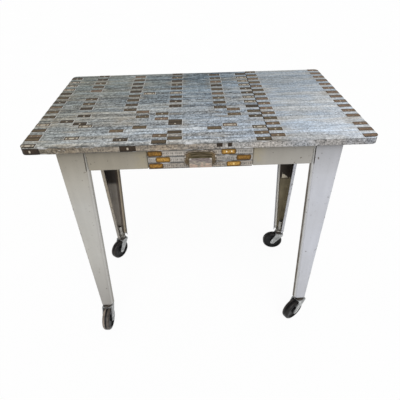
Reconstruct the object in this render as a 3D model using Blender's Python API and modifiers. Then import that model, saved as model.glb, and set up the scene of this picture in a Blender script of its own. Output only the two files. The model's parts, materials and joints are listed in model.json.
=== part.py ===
"""Workshop table: a board clad with folding-rule sections, on a folded-steel base with swivel castors.

The base has four tapered legs of folded sheet, five pan-shaped aprons and one drawer with a cup pull.
Metres, +Z up, +Y towards the back. The origin is on the floor, in the middle of the footprint.
"""

import math

import bmesh
import bpy
from mathutils import Matrix, Vector

# Fits
SEAT_GAP = 0.0003
RUNNING_GAP = 0.0003

# Table top: rows of rule sections on a board, with rules round its edge
WIDE_ROWS = 18
NARROW_ROWS = 12
ROWS_PER_STRIP = 2
RULE_WIDTH = 0.0160
NARROW_RULE_WIDTH = 0.0148
RULE_THICKNESS = 0.0030
ROW_GROOVE = 0.0004
GROOVE_DEPTH = 0.0008
SECTION_LENGTH = 0.238
RIGHT_SECTION_LENGTH = 0.240
PLATE_LENGTH = 0.034
PLATE_MARGIN = 0.0007
PLATE_PROUD = 0.0005
TOP_WIDTH = 0.800
BOARD_THICKNESS = 0.016
TOP_CORNER_RADIUS = 0.012

# Base of folded sheet
SHEET = 0.0015
BEND_RADIUS = 0.0030
SIDE_OVERHANG = 0.070
BASE_DEPTH = 0.344
FRONT_OVERHANG = 0.012
LEG_LENGTH = 0.566
LEG_TOP_WIDTH = 0.066
LEG_FOOT_WIDTH = 0.030
LEG_LIP_DEPTH = 0.012
LIP_SPREAD_TOP = 0.0045
LIP_SPREAD_FOOT = 0.0075
APRON_HEIGHT = 0.054
APRON_FLANGE = 0.018

# Drawer
DRAWER_WIDTH = 0.2435
DRAWER_SIDE_GAP = 0.0006
DRAWER_TOP_GAP = 0.0015
DRAWER_FLANGE = 0.012
DRAWER_RULE_MARGIN = 0.0005
TRAY_WIDTH = 0.214
TRAY_LENGTH = 0.290
TRAY_DEPTH = 0.044
TRAY_LIP = 0.009
TRAY_LIP_SETBACK = 0.006
RUNNER_SIDE_GAP = 0.0010
RUNNER_END_GAP = 0.002

# Cup pull
PULL_WIDTH = 0.057
PULL_TAPER = 0.0015
PULL_HEIGHT = 0.0300
PULL_REACH = 0.0200
PULL_DROP = 0.0055
PULL_FLANGE = 0.009
PULL_CORNER = 0.008
PULL_CREASE = 0.0014
PULL_SHEET = 0.0012
PULL_RAISE = 0.004

# Castors
WHEEL_RADIUS = 0.0375
WHEEL_WIDTH = 0.024
TREAD_ROUNDING = 0.0075
WEB_WIDTH = 0.015
RIM_DEPTH = 0.0098
HUB_RADIUS = 0.0105
HUB_WIDTH = 0.0265
HUB_FLARE = 0.0015
RIM_FLARE = 0.0020
AXLE_RADIUS = 0.0030
AXLE_HEAD_RADIUS = 0.0046
AXLE_HEAD_HEIGHT = 0.0012
TRAIL = 0.0235
FORK_SHEET = 0.0025
FORK_SIDE_GAP = 0.0010
FORK_EYE_RADIUS = 0.0085
CROWN_REACH = 0.0145
CROWN_SKIRT = 0.006
CROWN_WHEEL_GAP = 0.0030
RACE_RADIUS = 0.0150
RACE_HEIGHT = 0.0077
COLLAR_RADIUS = 0.0085
COLLAR_HEIGHT = 0.0062
STEM_RADIUS = 0.0050
STEM_NECK_RADIUS = 0.0040
STEM_ROUNDING = 0.0015
RIVET_RADIUS = 0.0060
RIVET_HEIGHT = 0.0014
STEM_INSET = 0.0135
SOCKET_WALL = 0.0018
SOCKET_HEIGHT = 0.044
SOCKET_PLATE = 0.0020

# Direction in which each castor trails, in degrees from the front (-Y) towards the right (+X)
SWIVELS = {"front_left": -3.0, "front_right": -57.0, "rear_left": -34.0, "rear_right": -97.0}

# Sizes worked out from the ones above
ROW_COUNT = WIDE_ROWS + NARROW_ROWS
ROW_PITCH = RULE_WIDTH + ROW_GROOVE
NARROW_PITCH = NARROW_RULE_WIDTH + ROW_GROOVE
TOP_DEPTH = WIDE_ROWS * ROW_PITCH + NARROW_ROWS * NARROW_PITCH
SEAM = TOP_WIDTH - RIGHT_SECTION_LENGTH
BEFORE_SEAM = SEAM - PLATE_LENGTH
RIGHT_END = TOP_WIDTH - PLATE_LENGTH
CROWN_TOP = 2 * WHEEL_RADIUS + CROWN_WHEEL_GAP + FORK_SHEET
RACE_TOP = CROWN_TOP + SEAT_GAP + RACE_HEIGHT
FOOT_HEIGHT = RACE_TOP + COLLAR_HEIGHT + RUNNING_GAP
LEG_TOP = FOOT_HEIGHT + LEG_LENGTH
BOARD_BOTTOM = LEG_TOP + SEAT_GAP
RULE_BOTTOM = BOARD_BOTTOM + BOARD_THICKNESS + SEAT_GAP
BASE_FRONT = -TOP_DEPTH / 2 + FRONT_OVERHANG
BASE_BACK = BASE_FRONT + BASE_DEPTH
BASE_WIDTH = TOP_WIDTH - 2 * SIDE_OVERHANG
BASE_SIDE = BASE_WIDTH / 2
APRON_MIDDLE = LEG_TOP - APRON_HEIGHT / 2
DRAWER_TOP = LEG_TOP - DRAWER_TOP_GAP
DRAWER_HEIGHT = APRON_HEIGHT - DRAWER_TOP_GAP
DRAWER_MIDDLE = DRAWER_TOP - DRAWER_HEIGHT / 2
DRAWER_RULE_LENGTH = DRAWER_WIDTH - 2 * DRAWER_RULE_MARGIN
DRAWER_RULE_END = DRAWER_RULE_LENGTH - PLATE_LENGTH
FORK_INNER = HUB_WIDTH + 2 * FORK_SIDE_GAP
FORK_OUTER = FORK_INNER + 2 * FORK_SHEET

# Left ends of the hinge plates in the rows where the bond of the sections is broken, as distances from the
# left edge of the top. The rows count from the back.
LOOSE_PLATES = {
    10: (0.245, 0.322, SEAM, RIGHT_END),
    18: (0.239, 0.475, SEAM, RIGHT_END),
    19: (0.0, 0.090, 0.290, BEFORE_SEAM),
    20: (0.241, 0.474, SEAM, RIGHT_END),
    21: (0.054, 0.290, BEFORE_SEAM),
    22: (0.0, 0.090, 0.325, SEAM, RIGHT_END),
    23: (0.107, 0.325),
    24: (0.0, 0.240, 0.457, SEAM),
    25: (0.187, 0.419, BEFORE_SEAM, RIGHT_END),
    26: (0.0, 0.325, SEAM),
    27: (0.0, 0.090, 0.291, BEFORE_SEAM, RIGHT_END),
    28: (0.203, 0.326, SEAM),
    29: (0.0, 0.291, BEFORE_SEAM, RIGHT_END),
}

# Left ends of the plates on the drawer's three rules, from the left end of the rule
DRAWER_PLATES = {"top": (0.0, 0.174), "middle": (0.024, DRAWER_RULE_END), "bottom": (0.002, 0.186)}

# Facets and tolerances of the modelling
ROUND_STEPS = 14
WHEEL_STEPS = 28
TREAD_STEPS = 3
ARC_STEPS = 6
WELD_DISTANCE = 1e-6
CUT_TOLERANCE = 1e-7
FACING_ANGLE = 25.0
FACING = math.cos(math.radians(FACING_ANGLE))

COLLECTION_NAME = "workshop_table"
CORNERS = {
    "front_left": (-1, -1, 0.0),
    "front_right": (1, -1, 90.0),
    "rear_right": (1, 1, 180.0),
    "rear_left": (-1, 1, 270.0),
}

AXIS_X_TURN = (0.0, math.pi / 2, 0.0)
UPRIGHT_TURN = (math.pi / 2, 0.0, 0.0)


# Scene and materials


def clear_scene():
    for old in list(bpy.data.objects):
        bpy.data.objects.remove(old, do_unlink=True)


def new_collection(name):
    made = bpy.data.collections.new(name)
    bpy.context.scene.collection.children.link(made)
    return made


def new_material(name, colour, roughness, metallic=0.0):
    made = bpy.data.materials.new(name)
    made.use_nodes = True
    shader = made.node_tree.nodes["Principled BSDF"]
    shader.inputs["Base Color"].default_value = (*colour, 1.0)
    shader.inputs["Roughness"].default_value = roughness
    shader.inputs["Metallic"].default_value = metallic
    made.diffuse_color = (*colour, 1.0)
    return made


def add_object(name, data, material, parent, location=(0, 0, 0), rotation=(0, 0, 0)):
    """A named part at a place under its parent, showing the given mesh or curve."""
    made = bpy.data.objects.new(name, data)
    PARTS.objects.link(made)
    if not data.materials:
        data.materials.append(material)
    made.parent = parent
    made.location = location
    made.rotation_euler = rotation
    return made


def add_empty(name, parent, location=(0, 0, 0), turn=0.0):
    made = bpy.data.objects.new(name, None)
    PARTS.objects.link(made)
    made.parent = parent
    made.location = location
    made.rotation_euler = (0, 0, turn)
    return made


# Modelling helpers


def arc(centre, radius, start, end, steps=ARC_STEPS):
    """Points on an arc in the plane, from one angle in degrees to another."""
    angles = [math.radians(start + (end - start) * i / steps) for i in range(steps + 1)]
    return [(centre[0] + radius * math.cos(a), centre[1] + radius * math.sin(a)) for a in angles]


def rounded_rectangle(width, depth, radius):
    corners = ((1, 1, 0), (-1, 1, 90), (-1, -1, 180), (1, -1, 270))
    points = []
    for sx, sy, start in corners:
        centre = (sx * (width / 2 - radius), sy * (depth / 2 - radius))
        points += arc(centre, radius, start, start + 90)
    return points


def outline_curve(name, points, thickness):
    """A flat outline as a filled 2D curve, thickened evenly about its own plane."""
    curve = bpy.data.curves.new(name, "CURVE")
    curve.dimensions = "2D"
    curve.fill_mode = "BOTH"
    curve.extrude = thickness / 2
    spline = curve.splines.new("POLY")
    spline.points.add(len(points) - 1)
    for point, (x, y) in zip(spline.points, points):
        point.co = (x, y, 0, 1)
    spline.use_cyclic_u = True
    return curve


def mesh_object(name, bm):
    mesh = bpy.data.meshes.new(name)
    bm.to_mesh(mesh)
    bm.free()
    made = bpy.data.objects.new(name, mesh)
    TOOLS.objects.link(made)
    return made


def baked(obj, *helpers):
    """The mesh of an object with its modifiers applied. The object and its helpers are removed."""
    bpy.context.view_layer.update()
    graph = bpy.context.evaluated_depsgraph_get()
    mesh = bpy.data.meshes.new_from_object(obj.evaluated_get(graph))
    mesh.name = obj.name
    for used in (obj, *helpers):
        bpy.data.objects.remove(used, do_unlink=True)
    return mesh


def welded_mesh(curve_data):
    """The mesh of a filled curve, with its caps joined to its sides."""
    source = bpy.data.objects.new(curve_data.name, curve_data)
    TOOLS.objects.link(source)
    mesh = baked(source)
    bm = bmesh.new()
    bm.from_mesh(mesh)
    bmesh.ops.remove_doubles(bm, verts=bm.verts, dist=WELD_DISTANCE)
    bm.to_mesh(mesh)
    bm.free()
    return mesh


def box_bmesh(size, centre=(0, 0, 0)):
    bm = bmesh.new()
    bmesh.ops.create_cube(bm, size=1.0)
    bmesh.ops.scale(bm, vec=size, verts=bm.verts)
    bmesh.ops.translate(bm, vec=centre, verts=bm.verts)
    return bm


def cylinder(name, radius, length, steps=ROUND_STEPS):
    """A closed cylinder along Z, centred on the origin."""
    bm = bmesh.new()
    bmesh.ops.create_cone(
        bm, cap_ends=True, segments=steps, radius1=radius, radius2=radius, depth=length
    )
    return mesh_object(name, bm)


def add_boolean(obj, other, operation):
    modifier = obj.modifiers.new(operation.lower(), "BOOLEAN")
    modifier.operation = operation
    modifier.object = other
    modifier.solver = "EXACT"


def add_folds(obj, radius, segments=2):
    modifier = obj.modifiers.new("folds", "BEVEL")
    modifier.width = radius
    modifier.segments = segments
    modifier.limit_method = "ANGLE"
    modifier.angle_limit = math.radians(40)


def add_thickness(obj, thickness):
    modifier = obj.modifiers.new("sheet", "SOLIDIFY")
    modifier.thickness = thickness
    modifier.offset = -1.0
    modifier.use_even_offset = True


def smooth_round(mesh, angle=35.0):
    mesh.shade_smooth()
    mesh.set_sharp_from_angle(angle=math.radians(angle))


def open_sheet(rings):
    """An open sheet through rings of equally many points, and the vertices of its last ring."""
    bm = bmesh.new()
    verts = [bm.verts.new(point) for point in rings[0]]
    edges = [bm.edges.new(pair) for pair in zip(verts, verts[1:])]
    for ring in rings[1:]:
        made = bmesh.ops.extrude_edge_only(bm, edges=edges)
        copies = [item for item in made["geom"] if isinstance(item, bmesh.types.BMVert)]
        verts = [min(copies, key=lambda copy: (copy.co - vert.co).length) for vert in verts]
        for vert, point in zip(verts, ring):
            vert.co = point
        edges = [bm.edges.get(pair) for pair in zip(verts, verts[1:])]
    return bm, verts


def face_towards(bm, direction):
    """Turns the faces of an open sheet so that the ones furthest in a direction look that way."""
    outward = Vector(direction)
    bmesh.ops.recalc_face_normals(bm, faces=bm.faces[:])
    furthest = max(bm.faces, key=lambda face: face.calc_center_median().dot(outward))
    if furthest.normal.dot(outward) < 0:
        bmesh.ops.reverse_faces(bm, faces=bm.faces[:])


def turned_mesh(name, profile, steps=ROUND_STEPS, ring=False):
    """A profile of (radius, height) points turned about Z, running down its outer side.

    A ring's profile is a closed loop round its bore. Any other profile starts and ends on the axis.
    """
    bm = bmesh.new()
    points = [bm.verts.new((radius, 0, height)) for radius, height in profile]
    following = points[1:] + points[:1] if ring else points[1:]
    for first, second in zip(points, following):
        bm.edges.new((first, second))
    obj = mesh_object(name, bm)
    modifier = obj.modifiers.new("turn", "SCREW")
    modifier.steps = steps
    modifier.render_steps = steps
    modifier.use_merge_vertices = True
    modifier.merge_threshold = WELD_DISTANCE
    mesh = baked(obj)
    smooth_round(mesh)
    return mesh


def pan_mesh(name, size, open_normal, long_axis=0, leans=(0.0, 0.0)):
    """A shallow box of folded sheet, open on the side that faces open_normal.

    leans moves the open ends of its two end walls, low and high, inwards along the long axis.
    """
    bm = box_bmesh(size)
    bm.normal_update()
    opened = [face for face in bm.faces if face.normal.dot(Vector(open_normal)) > FACING]
    for vert in opened[0].verts:
        low = vert.co[long_axis] < 0
        vert.co[long_axis] += leans[0] if low else -leans[1]
    bmesh.ops.delete(bm, geom=opened, context="FACES")
    obj = mesh_object(name, bm)
    add_folds(obj, BEND_RADIUS)
    add_thickness(obj, SHEET)
    return baked(obj)


# Rules


def bonded_plates(row):
    """Left ends of the hinge plates in a row of the regular bond. Odd rows start with a whole section."""
    if row % 2:
        ends = [SECTION_LENGTH * n for n in range(1, int(SEAM / SECTION_LENGTH) + 1)]
        return [0.0] + [end - PLATE_LENGTH for end in ends] + [SEAM - PLATE_LENGTH]
    first = SECTION_LENGTH / 2
    ends = [first + SECTION_LENGTH * n for n in range(int((SEAM - first) / SECTION_LENGTH) + 1)]
    return [end - PLATE_LENGTH for end in ends] + [SEAM, TOP_WIDTH - PLATE_LENGTH]


def fitting_plates(plates, length):
    """The plates that lie wholly on a rule of the given length."""
    return [left for left in plates if 0 <= left <= length - PLATE_LENGTH + WELD_DISTANCE]


def row_plates(row):
    return fitting_plates(LOOSE_PLATES.get(row, bonded_plates(row)), TOP_WIDTH)


def row_joints(row):
    """Where two sections of a row meet: at the seam and at the right end of each plate within the row."""
    starts = [left for left in row_plates(row) if left > ROW_GROOVE and abs(left - SEAM) > ROW_GROOVE]
    ends = [left + PLATE_LENGTH for left in starts]
    inner = [end for end in ends if end < TOP_WIDTH - ROW_GROOVE and abs(end - SEAM) > ROW_GROOVE]
    return inner + [SEAM]


def cut_across(bm, axis, places):
    """Cuts the whole mesh by planes square to one axis."""
    normal = Vector((0, 0, 0))
    normal[axis] = 1.0
    for place in sorted(set(places)):
        point = Vector((0, 0, 0))
        point[axis] = place
        bmesh.ops.bisect_plane(
            bm,
            geom=bm.verts[:] + bm.edges[:] + bm.faces[:],
            dist=CUT_TOLERANCE,
            plane_co=point,
            plane_no=normal,
        )


def lift_faces(bm, faces, height):
    """Raises or sinks a set of upward faces as one region with upright walls."""
    if not faces:
        return
    made = bmesh.ops.extrude_face_region(bm, geom=faces)
    moved = [item for item in made["geom"] if isinstance(item, bmesh.types.BMVert)]
    bmesh.ops.translate(bm, vec=(0, 0, height), verts=moved)
    bmesh.ops.delete(bm, geom=faces, context="FACES_KEEP_BOUNDARY")


def round_outer_corners(bm, side):
    """Rounds the two upright corners of a strip on its +Y side (1) or its -Y side (-1)."""
    corners = []
    for edge in bm.edges:
        first, second = (vert.co for vert in edge.verts)
        if (first - second).to_2d().length < SEAT_GAP and first.y * side > 0:
            corners.append(edge)
    bmesh.ops.bevel(
        bm, geom=corners, offset=TOP_CORNER_RADIUS, segments=ARC_STEPS, profile=0.5, affect="EDGES"
    )


def rule_strip_mesh(name, length, rule_width, plates, joints, rounded_side=0):
    """Rules laid side by side, the first at +Y. Plates and joints are distances from each rule's left end.

    The strip lies on its middle line with its underside at z = 0. Its rules are joined below their grooves.
    """
    count = len(plates)
    pitch = rule_width + ROW_GROOVE
    width = count * pitch - ROW_GROOVE
    bm = box_bmesh((length, width, RULE_THICKNESS), (0, 0, RULE_THICKNESS / 2))
    if rounded_side:
        round_outer_corners(bm, rounded_side)
    left = -length / 2
    tops = [width / 2 - n * pitch for n in range(count)]
    cuts_x = set()
    for ends, gaps in zip(plates, joints):
        cuts_x |= {left + x for start in ends for x in (start, start + PLATE_LENGTH)}
        cuts_x |= {left + gap + side * ROW_GROOVE / 2 for gap in gaps for side in (-1, 1)}
    rule_lines = (0, PLATE_MARGIN, rule_width - PLATE_MARGIN, rule_width)
    cuts_y = {top - offset for top in tops for offset in rule_lines}
    cut_across(bm, 0, [x for x in cuts_x if abs(x) < length / 2 - WELD_DISTANCE])
    cut_across(bm, 1, [y for y in cuts_y if abs(y) < width / 2 - WELD_DISTANCE])
    bm.normal_update()
    raised, sunk = [], []
    for face in bm.faces:
        if face.normal.z < FACING:
            continue
        centre = face.calc_center_median()
        x = centre.x - left
        row = min(range(count), key=lambda n: abs(tops[n] - rule_width / 2 - centre.y))
        offset = tops[row] - centre.y
        on_rule = 0 < offset < rule_width
        at_joint = any(abs(x - gap) < ROW_GROOVE / 2 for gap in joints[row])
        in_margin = PLATE_MARGIN < offset < rule_width - PLATE_MARGIN
        if not on_rule or at_joint:
            sunk.append(face)
        elif in_margin and any(start < x < start + PLATE_LENGTH for start in plates[row]):
            raised.append(face)
    lift_faces(bm, raised, PLATE_PROUD)
    lift_faces(bm, sunk, -GROOVE_DEPTH)
    return baked(mesh_object(name, bm))


def top_strips():
    """The rows of each strip of the top and the width of their rules, from the back."""
    first = 0
    for count, rule_width in ((WIDE_ROWS, RULE_WIDTH), (NARROW_ROWS, NARROW_RULE_WIDTH)):
        for start in range(first, first + count, ROWS_PER_STRIP):
            yield range(start, min(start + ROWS_PER_STRIP, first + count)), rule_width
        first += count


def build_top(root):
    board_inset = RULE_THICKNESS + SEAT_GAP
    board = outline_curve(
        "top_board",
        rounded_rectangle(
            TOP_WIDTH - 2 * board_inset, TOP_DEPTH - 2 * board_inset, TOP_CORNER_RADIUS - board_inset
        ),
        BOARD_THICKNESS,
    )
    add_object("top_board", board, WOOD, root, (0, 0, BOARD_BOTTOM + BOARD_THICKNESS / 2))
    back = TOP_DEPTH / 2
    for number, (rows, rule_width) in enumerate(top_strips(), start=1):
        rounded_side = 1 if rows[0] == 0 else -1 if rows[-1] == ROW_COUNT - 1 else 0
        name = f"top_rules_{number:02d}"
        mesh = rule_strip_mesh(
            name,
            TOP_WIDTH,
            rule_width,
            [row_plates(row) for row in rows],
            [row_joints(row) for row in rows],
            rounded_side,
        )
        depth = len(rows) * (rule_width + ROW_GROOVE)
        add_object(name, mesh, RULE_WOOD, root, (0, back - depth / 2, RULE_BOTTOM))
        back -= depth
    build_edge_rules(root)


def build_edge_rules(root):
    """One rule along each side of the board. Neighbours meet in the middle of each rounded corner."""
    half_gap = math.degrees(SEAT_GAP / 2 / (TOP_CORNER_RADIUS - RULE_THICKNESS))
    inset_x = TOP_WIDTH / 2 - TOP_CORNER_RADIUS
    inset_y = TOP_DEPTH / 2 - TOP_CORNER_RADIUS
    centres = {45: (1, 1), 135: (-1, 1), 225: (-1, -1), 315: (1, -1)}
    sides = {"rear": (45, 135), "left": (135, 225), "front": (225, 315), "right": (315, 45)}
    for side, (first, last) in sides.items():
        outer, inner = [], []
        for corner, start, end in ((first, half_gap, 45), (last, -45, -half_gap)):
            sx, sy = centres[corner]
            centre = (sx * inset_x, sy * inset_y)
            for line, radius in ((outer, TOP_CORNER_RADIUS), (inner, TOP_CORNER_RADIUS - RULE_THICKNESS)):
                line += arc(centre, radius, corner + start, corner + end, ARC_STEPS // 2)
        name = f"edge_rule_{side}"
        outline = outline_curve(name, outer + inner[::-1], BOARD_THICKNESS)
        add_object(name, outline, RULE_WOOD, root, (0, 0, BOARD_BOTTOM + BOARD_THICKNESS / 2))


# Base


def leg_mesh():
    """A tapered angle of folded sheet with a lip on each wall. Its outer corner is upright at the origin.

    The lips turn in by less than a right angle, so they spread past the walls, most of all at the foot.
    """

    def section(width, spread, z):
        half = [(width + spread, LEG_LIP_DEPTH, z), (width, 0, z)]
        return [*half, (0, 0, z), *[(y, x, z) for x, y, z in reversed(half)]]

    top = section(LEG_TOP_WIDTH, LIP_SPREAD_TOP, LEG_LENGTH)
    foot = section(LEG_FOOT_WIDTH, LIP_SPREAD_FOOT, 0)
    bm, _ = open_sheet([top, foot])
    face_towards(bm, (0, -1, 0))
    obj = mesh_object("leg", bm)
    add_folds(obj, BEND_RADIUS)
    add_thickness(obj, SHEET)
    return baked(obj)


def socket_mesh():
    """A foot plate with an upright tube for the castor's stem, about the stem's axis."""
    near = STEM_INSET - SHEET - SEAT_GAP
    far = LEG_FOOT_WIDTH - SHEET - SEAT_GAP - STEM_INSET
    side = near + far
    shift = (far - near) / 2
    outline = rounded_rectangle(side, side, BEND_RADIUS)
    plate = bpy.data.objects.new("socket", welded_mesh(outline_curve("socket", outline, SOCKET_PLATE)))
    TOOLS.objects.link(plate)
    plate.data.transform(Matrix.Translation((shift, shift, SOCKET_PLATE / 2)))
    tube = cylinder("socket_tube", STEM_RADIUS + RUNNING_GAP + SOCKET_WALL, SOCKET_HEIGHT)
    tube.location.z = SOCKET_HEIGHT / 2
    bore = cylinder("socket_bore", STEM_RADIUS + RUNNING_GAP, 3 * SOCKET_HEIGHT)
    add_boolean(plate, tube, "UNION")
    add_boolean(plate, bore, "DIFFERENCE")
    mesh = baked(plate, tube, bore)
    smooth_round(mesh)
    return mesh


def build_base(root):
    leg = leg_mesh()
    socket = socket_mesh()
    for corner, (sx, sy, turn) in CORNERS.items():
        x = sx * BASE_SIDE
        y = BASE_BACK if sy > 0 else BASE_FRONT
        rotation = (0, 0, math.radians(turn))
        add_object(f"leg_{corner}", leg, PAINT, root, (x, y, FOOT_HEIGHT), rotation)
        stem = (x - sx * STEM_INSET, y - sy * STEM_INSET, FOOT_HEIGHT)
        add_object(f"caster_socket_{corner}", socket, BARE_STEEL, root, stem, rotation)
    build_aprons(root)
    build_runners(root)


def build_aprons(root):
    """Pans between the legs. The end walls that meet a leg lean with its lip."""
    gap_x = BASE_WIDTH - 2 * (LEG_TOP_WIDTH + SEAT_GAP)
    gap_y = BASE_DEPTH - 2 * (LEG_TOP_WIDTH + SEAT_GAP)
    lean = APRON_FLANGE * LIP_SPREAD_TOP / LEG_LIP_DEPTH
    opening = DRAWER_WIDTH + 2 * DRAWER_SIDE_GAP
    half_front = (gap_x - opening) / 2
    front_y = BASE_FRONT + APRON_FLANGE / 2
    back_y = BASE_BACK - APRON_FLANGE / 2
    side_x = BASE_SIDE - APRON_FLANGE / 2
    middle_y = (BASE_FRONT + BASE_BACK) / 2
    for side, sign in (("left", -1), ("right", 1)):
        leans = (lean, 0.0) if sign < 0 else (0.0, lean)
        size = (half_front, APRON_FLANGE, APRON_HEIGHT)
        front = pan_mesh(f"apron_front_{side}", size, (0, 1, 0), 0, leans)
        x = sign * (opening + half_front) / 2
        add_object(f"apron_front_{side}", front, PAINT, root, (x, front_y, APRON_MIDDLE))
        size = (APRON_FLANGE, gap_y, APRON_HEIGHT)
        end = pan_mesh(f"apron_{side}", size, (-sign, 0, 0), 1, (lean, lean))
        add_object(f"apron_{side}", end, PAINT, root, (sign * side_x, middle_y, APRON_MIDDLE))
    size = (gap_x, APRON_FLANGE, APRON_HEIGHT)
    rear = pan_mesh("apron_rear", size, (0, -1, 0), 0, (lean, lean))
    add_object("apron_rear", rear, PAINT, root, (0, back_y, APRON_MIDDLE))


def build_runners(root):
    """Channels under the board that carry the lips of the drawer tray. They open towards the tray."""
    height = 3 * SHEET + 2 * RUNNING_GAP
    front = BASE_FRONT + DRAWER_FLANGE + RUNNER_END_GAP
    back = BASE_BACK - APRON_FLANGE - SEAT_GAP
    length = back - front
    web = TRAY_WIDTH / 2 + TRAY_LIP + RUNNING_GAP + SHEET
    flange = web - TRAY_WIDTH / 2 - RUNNER_SIDE_GAP
    for side, sign in (("left", -1), ("right", 1)):
        bm = box_bmesh((flange, length, height))
        bm.normal_update()
        opened = [face for face in bm.faces if face.normal.x * sign < -FACING or abs(face.normal.y) > FACING]
        bmesh.ops.delete(bm, geom=opened, context="FACES")
        obj = mesh_object(f"drawer_runner_{side}", bm)
        add_thickness(obj, SHEET)
        place = (sign * (web - flange / 2), front + length / 2, LEG_TOP - height / 2)
        add_object(f"drawer_runner_{side}", baked(obj), BARE_STEEL, root, place)


# Drawer


def tray_mesh():
    """A folded pan with a lip along the top of each side wall. The lips' upper faces are at z = 0."""
    tray = bpy.data.objects.new(
        "drawer_tray", pan_mesh("drawer_tray", (TRAY_WIDTH, TRAY_LENGTH, TRAY_DEPTH), (0, 0, 1))
    )
    TOOLS.objects.link(tray)
    lips = []
    for sign in (-1, 1):
        inner = TRAY_WIDTH / 2 - SHEET / 2
        width = TRAY_LIP + SHEET / 2
        size = (width, TRAY_LENGTH - 2 * TRAY_LIP_SETBACK, SHEET)
        centre = (sign * (inner + width / 2), 0, TRAY_DEPTH / 2 - SHEET / 2)
        lip = mesh_object("tray_lip", box_bmesh(size, centre))
        add_boolean(tray, lip, "UNION")
        lips.append(lip)
    mesh = baked(tray, *lips)
    mesh.transform(Matrix.Translation((0, 0, -TRAY_DEPTH / 2)))
    return mesh


def pull_mesh():
    """A pressed hood, open below, with a flange on the drawer's face. Back at y = 0, rim at z = 0."""

    def arch(half, height, corner, y):
        left = arc((-half + corner, height - corner), corner, 180, 90, ARC_STEPS)
        right = arc((half - corner, height - corner), corner, 90, 0, ARC_STEPS)
        return [(x, y, z) for x, z in [(-half, 0.0), *left, *right, (half, 0.0)]]

    half = PULL_WIDTH / 2
    rise = PULL_FLANGE / 2
    flange = arch(half + PULL_FLANGE, PULL_HEIGHT + rise, PULL_CORNER + rise, -PULL_SHEET)
    root = arch(half, PULL_HEIGHT, PULL_CORNER, -PULL_SHEET)
    brow = arch(half - PULL_TAPER, PULL_HEIGHT - PULL_DROP, PULL_CORNER - PULL_TAPER, -PULL_REACH)
    bm, edge = open_sheet([flange, root, brow])
    bm.faces.new(edge)
    face_towards(bm, (0, -1, 0))
    obj = mesh_object("drawer_pull", bm)
    add_folds(obj, PULL_CREASE)
    add_thickness(obj, PULL_SHEET)
    mesh = baked(obj)
    smooth_round(mesh)
    return mesh


def build_drawer(root):
    drawer = add_empty("drawer", root, (0, BASE_FRONT, 0))
    front = pan_mesh("drawer_front", (DRAWER_WIDTH, DRAWER_FLANGE, DRAWER_HEIGHT), (0, 1, 0))
    add_object("drawer_front", front, PAINT, drawer, (0, DRAWER_FLANGE / 2, DRAWER_MIDDLE))
    tray_y = DRAWER_FLANGE + SEAT_GAP + TRAY_LENGTH / 2
    tray_top = LEG_TOP - SHEET - RUNNING_GAP
    add_object("drawer_tray", tray_mesh(), BARE_STEEL, drawer, (0, tray_y, tray_top))
    face_y = -SEAT_GAP
    for number, (name, plates) in enumerate(DRAWER_PLATES.items()):
        fitting = fitting_plates(plates, DRAWER_RULE_LENGTH)
        strip = rule_strip_mesh(f"drawer_rule_{name}", DRAWER_RULE_LENGTH, RULE_WIDTH, [fitting], [[]])
        z = DRAWER_MIDDLE + (1 - number) * ROW_PITCH
        add_object(f"drawer_rule_{name}", strip, RULE_WOOD, drawer, (0, face_y, z), UPRIGHT_TURN)
    pull_y = face_y - RULE_THICKNESS - PLATE_PROUD - SEAT_GAP
    pull_z = DRAWER_MIDDLE - PULL_HEIGHT / 2 + PULL_RAISE
    add_object("drawer_pull", pull_mesh(), NICKEL, drawer, (0, pull_y, pull_z))


# Castors


def wheel_mesh():
    """A solid wheel with a rounded tread, a thin web and a wide hub, turned about Z."""
    half, web, hub = WHEEL_WIDTH / 2, WEB_WIDTH / 2, HUB_WIDTH / 2
    bore = AXLE_RADIUS + RUNNING_GAP
    rim = WHEEL_RADIUS - RIM_DEPTH
    shoulder = WHEEL_RADIUS - TREAD_ROUNDING
    tread = arc((shoulder, half - TREAD_ROUNDING), TREAD_ROUNDING, 90, 0, TREAD_STEPS)
    hollow = [(HUB_RADIUS + HUB_FLARE, web), (rim - RIM_FLARE, web)]
    right = [(bore, hub), (HUB_RADIUS, hub), *hollow, (rim, half), *tread]
    lower = [(radius, -height) for radius, height in reversed(right)]
    return turned_mesh("caster_wheel", right + lower, WHEEL_STEPS, ring=True)


def axle_mesh():
    """A pin riveted over into a low head at both ends, along Z."""
    reach = FORK_OUTER / 2 + SEAT_GAP
    face = reach + AXLE_HEAD_HEIGHT
    chamfer = AXLE_HEAD_HEIGHT / 2
    upper = [
        (0.0, face),
        (AXLE_HEAD_RADIUS - chamfer, face),
        (AXLE_HEAD_RADIUS, face - chamfer),
        (AXLE_HEAD_RADIUS, reach),
        (AXLE_RADIUS, reach),
    ]
    lower = [(radius, -height) for radius, height in reversed(upper)]
    return turned_mesh("caster_axle", upper + lower)


def stem_mesh():
    """The swivel pin: a shaft in the socket, a collar, a race on the crown and a neck riveted below it."""
    race_bottom = CROWN_TOP + SEAT_GAP
    collar_top = RACE_TOP + COLLAR_HEIGHT
    rivet_top = CROWN_TOP - FORK_SHEET - SEAT_GAP
    tip = FOOT_HEIGHT + SOCKET_HEIGHT
    profile = [
        (0, tip),
        (STEM_RADIUS - STEM_ROUNDING, tip),
        (STEM_RADIUS, tip - STEM_ROUNDING),
        (STEM_RADIUS, collar_top),
        (COLLAR_RADIUS, collar_top),
        (COLLAR_RADIUS, RACE_TOP),
        (RACE_RADIUS - STEM_ROUNDING, RACE_TOP),
        (RACE_RADIUS, RACE_TOP - STEM_ROUNDING),
        (RACE_RADIUS, race_bottom),
        (STEM_NECK_RADIUS, race_bottom),
        (STEM_NECK_RADIUS, rivet_top),
        (RIVET_RADIUS, rivet_top),
        (RIVET_RADIUS - RIVET_HEIGHT, rivet_top - RIVET_HEIGHT),
        (0, rivet_top - RIVET_HEIGHT),
    ]
    return turned_mesh("caster_stem", profile)


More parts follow.
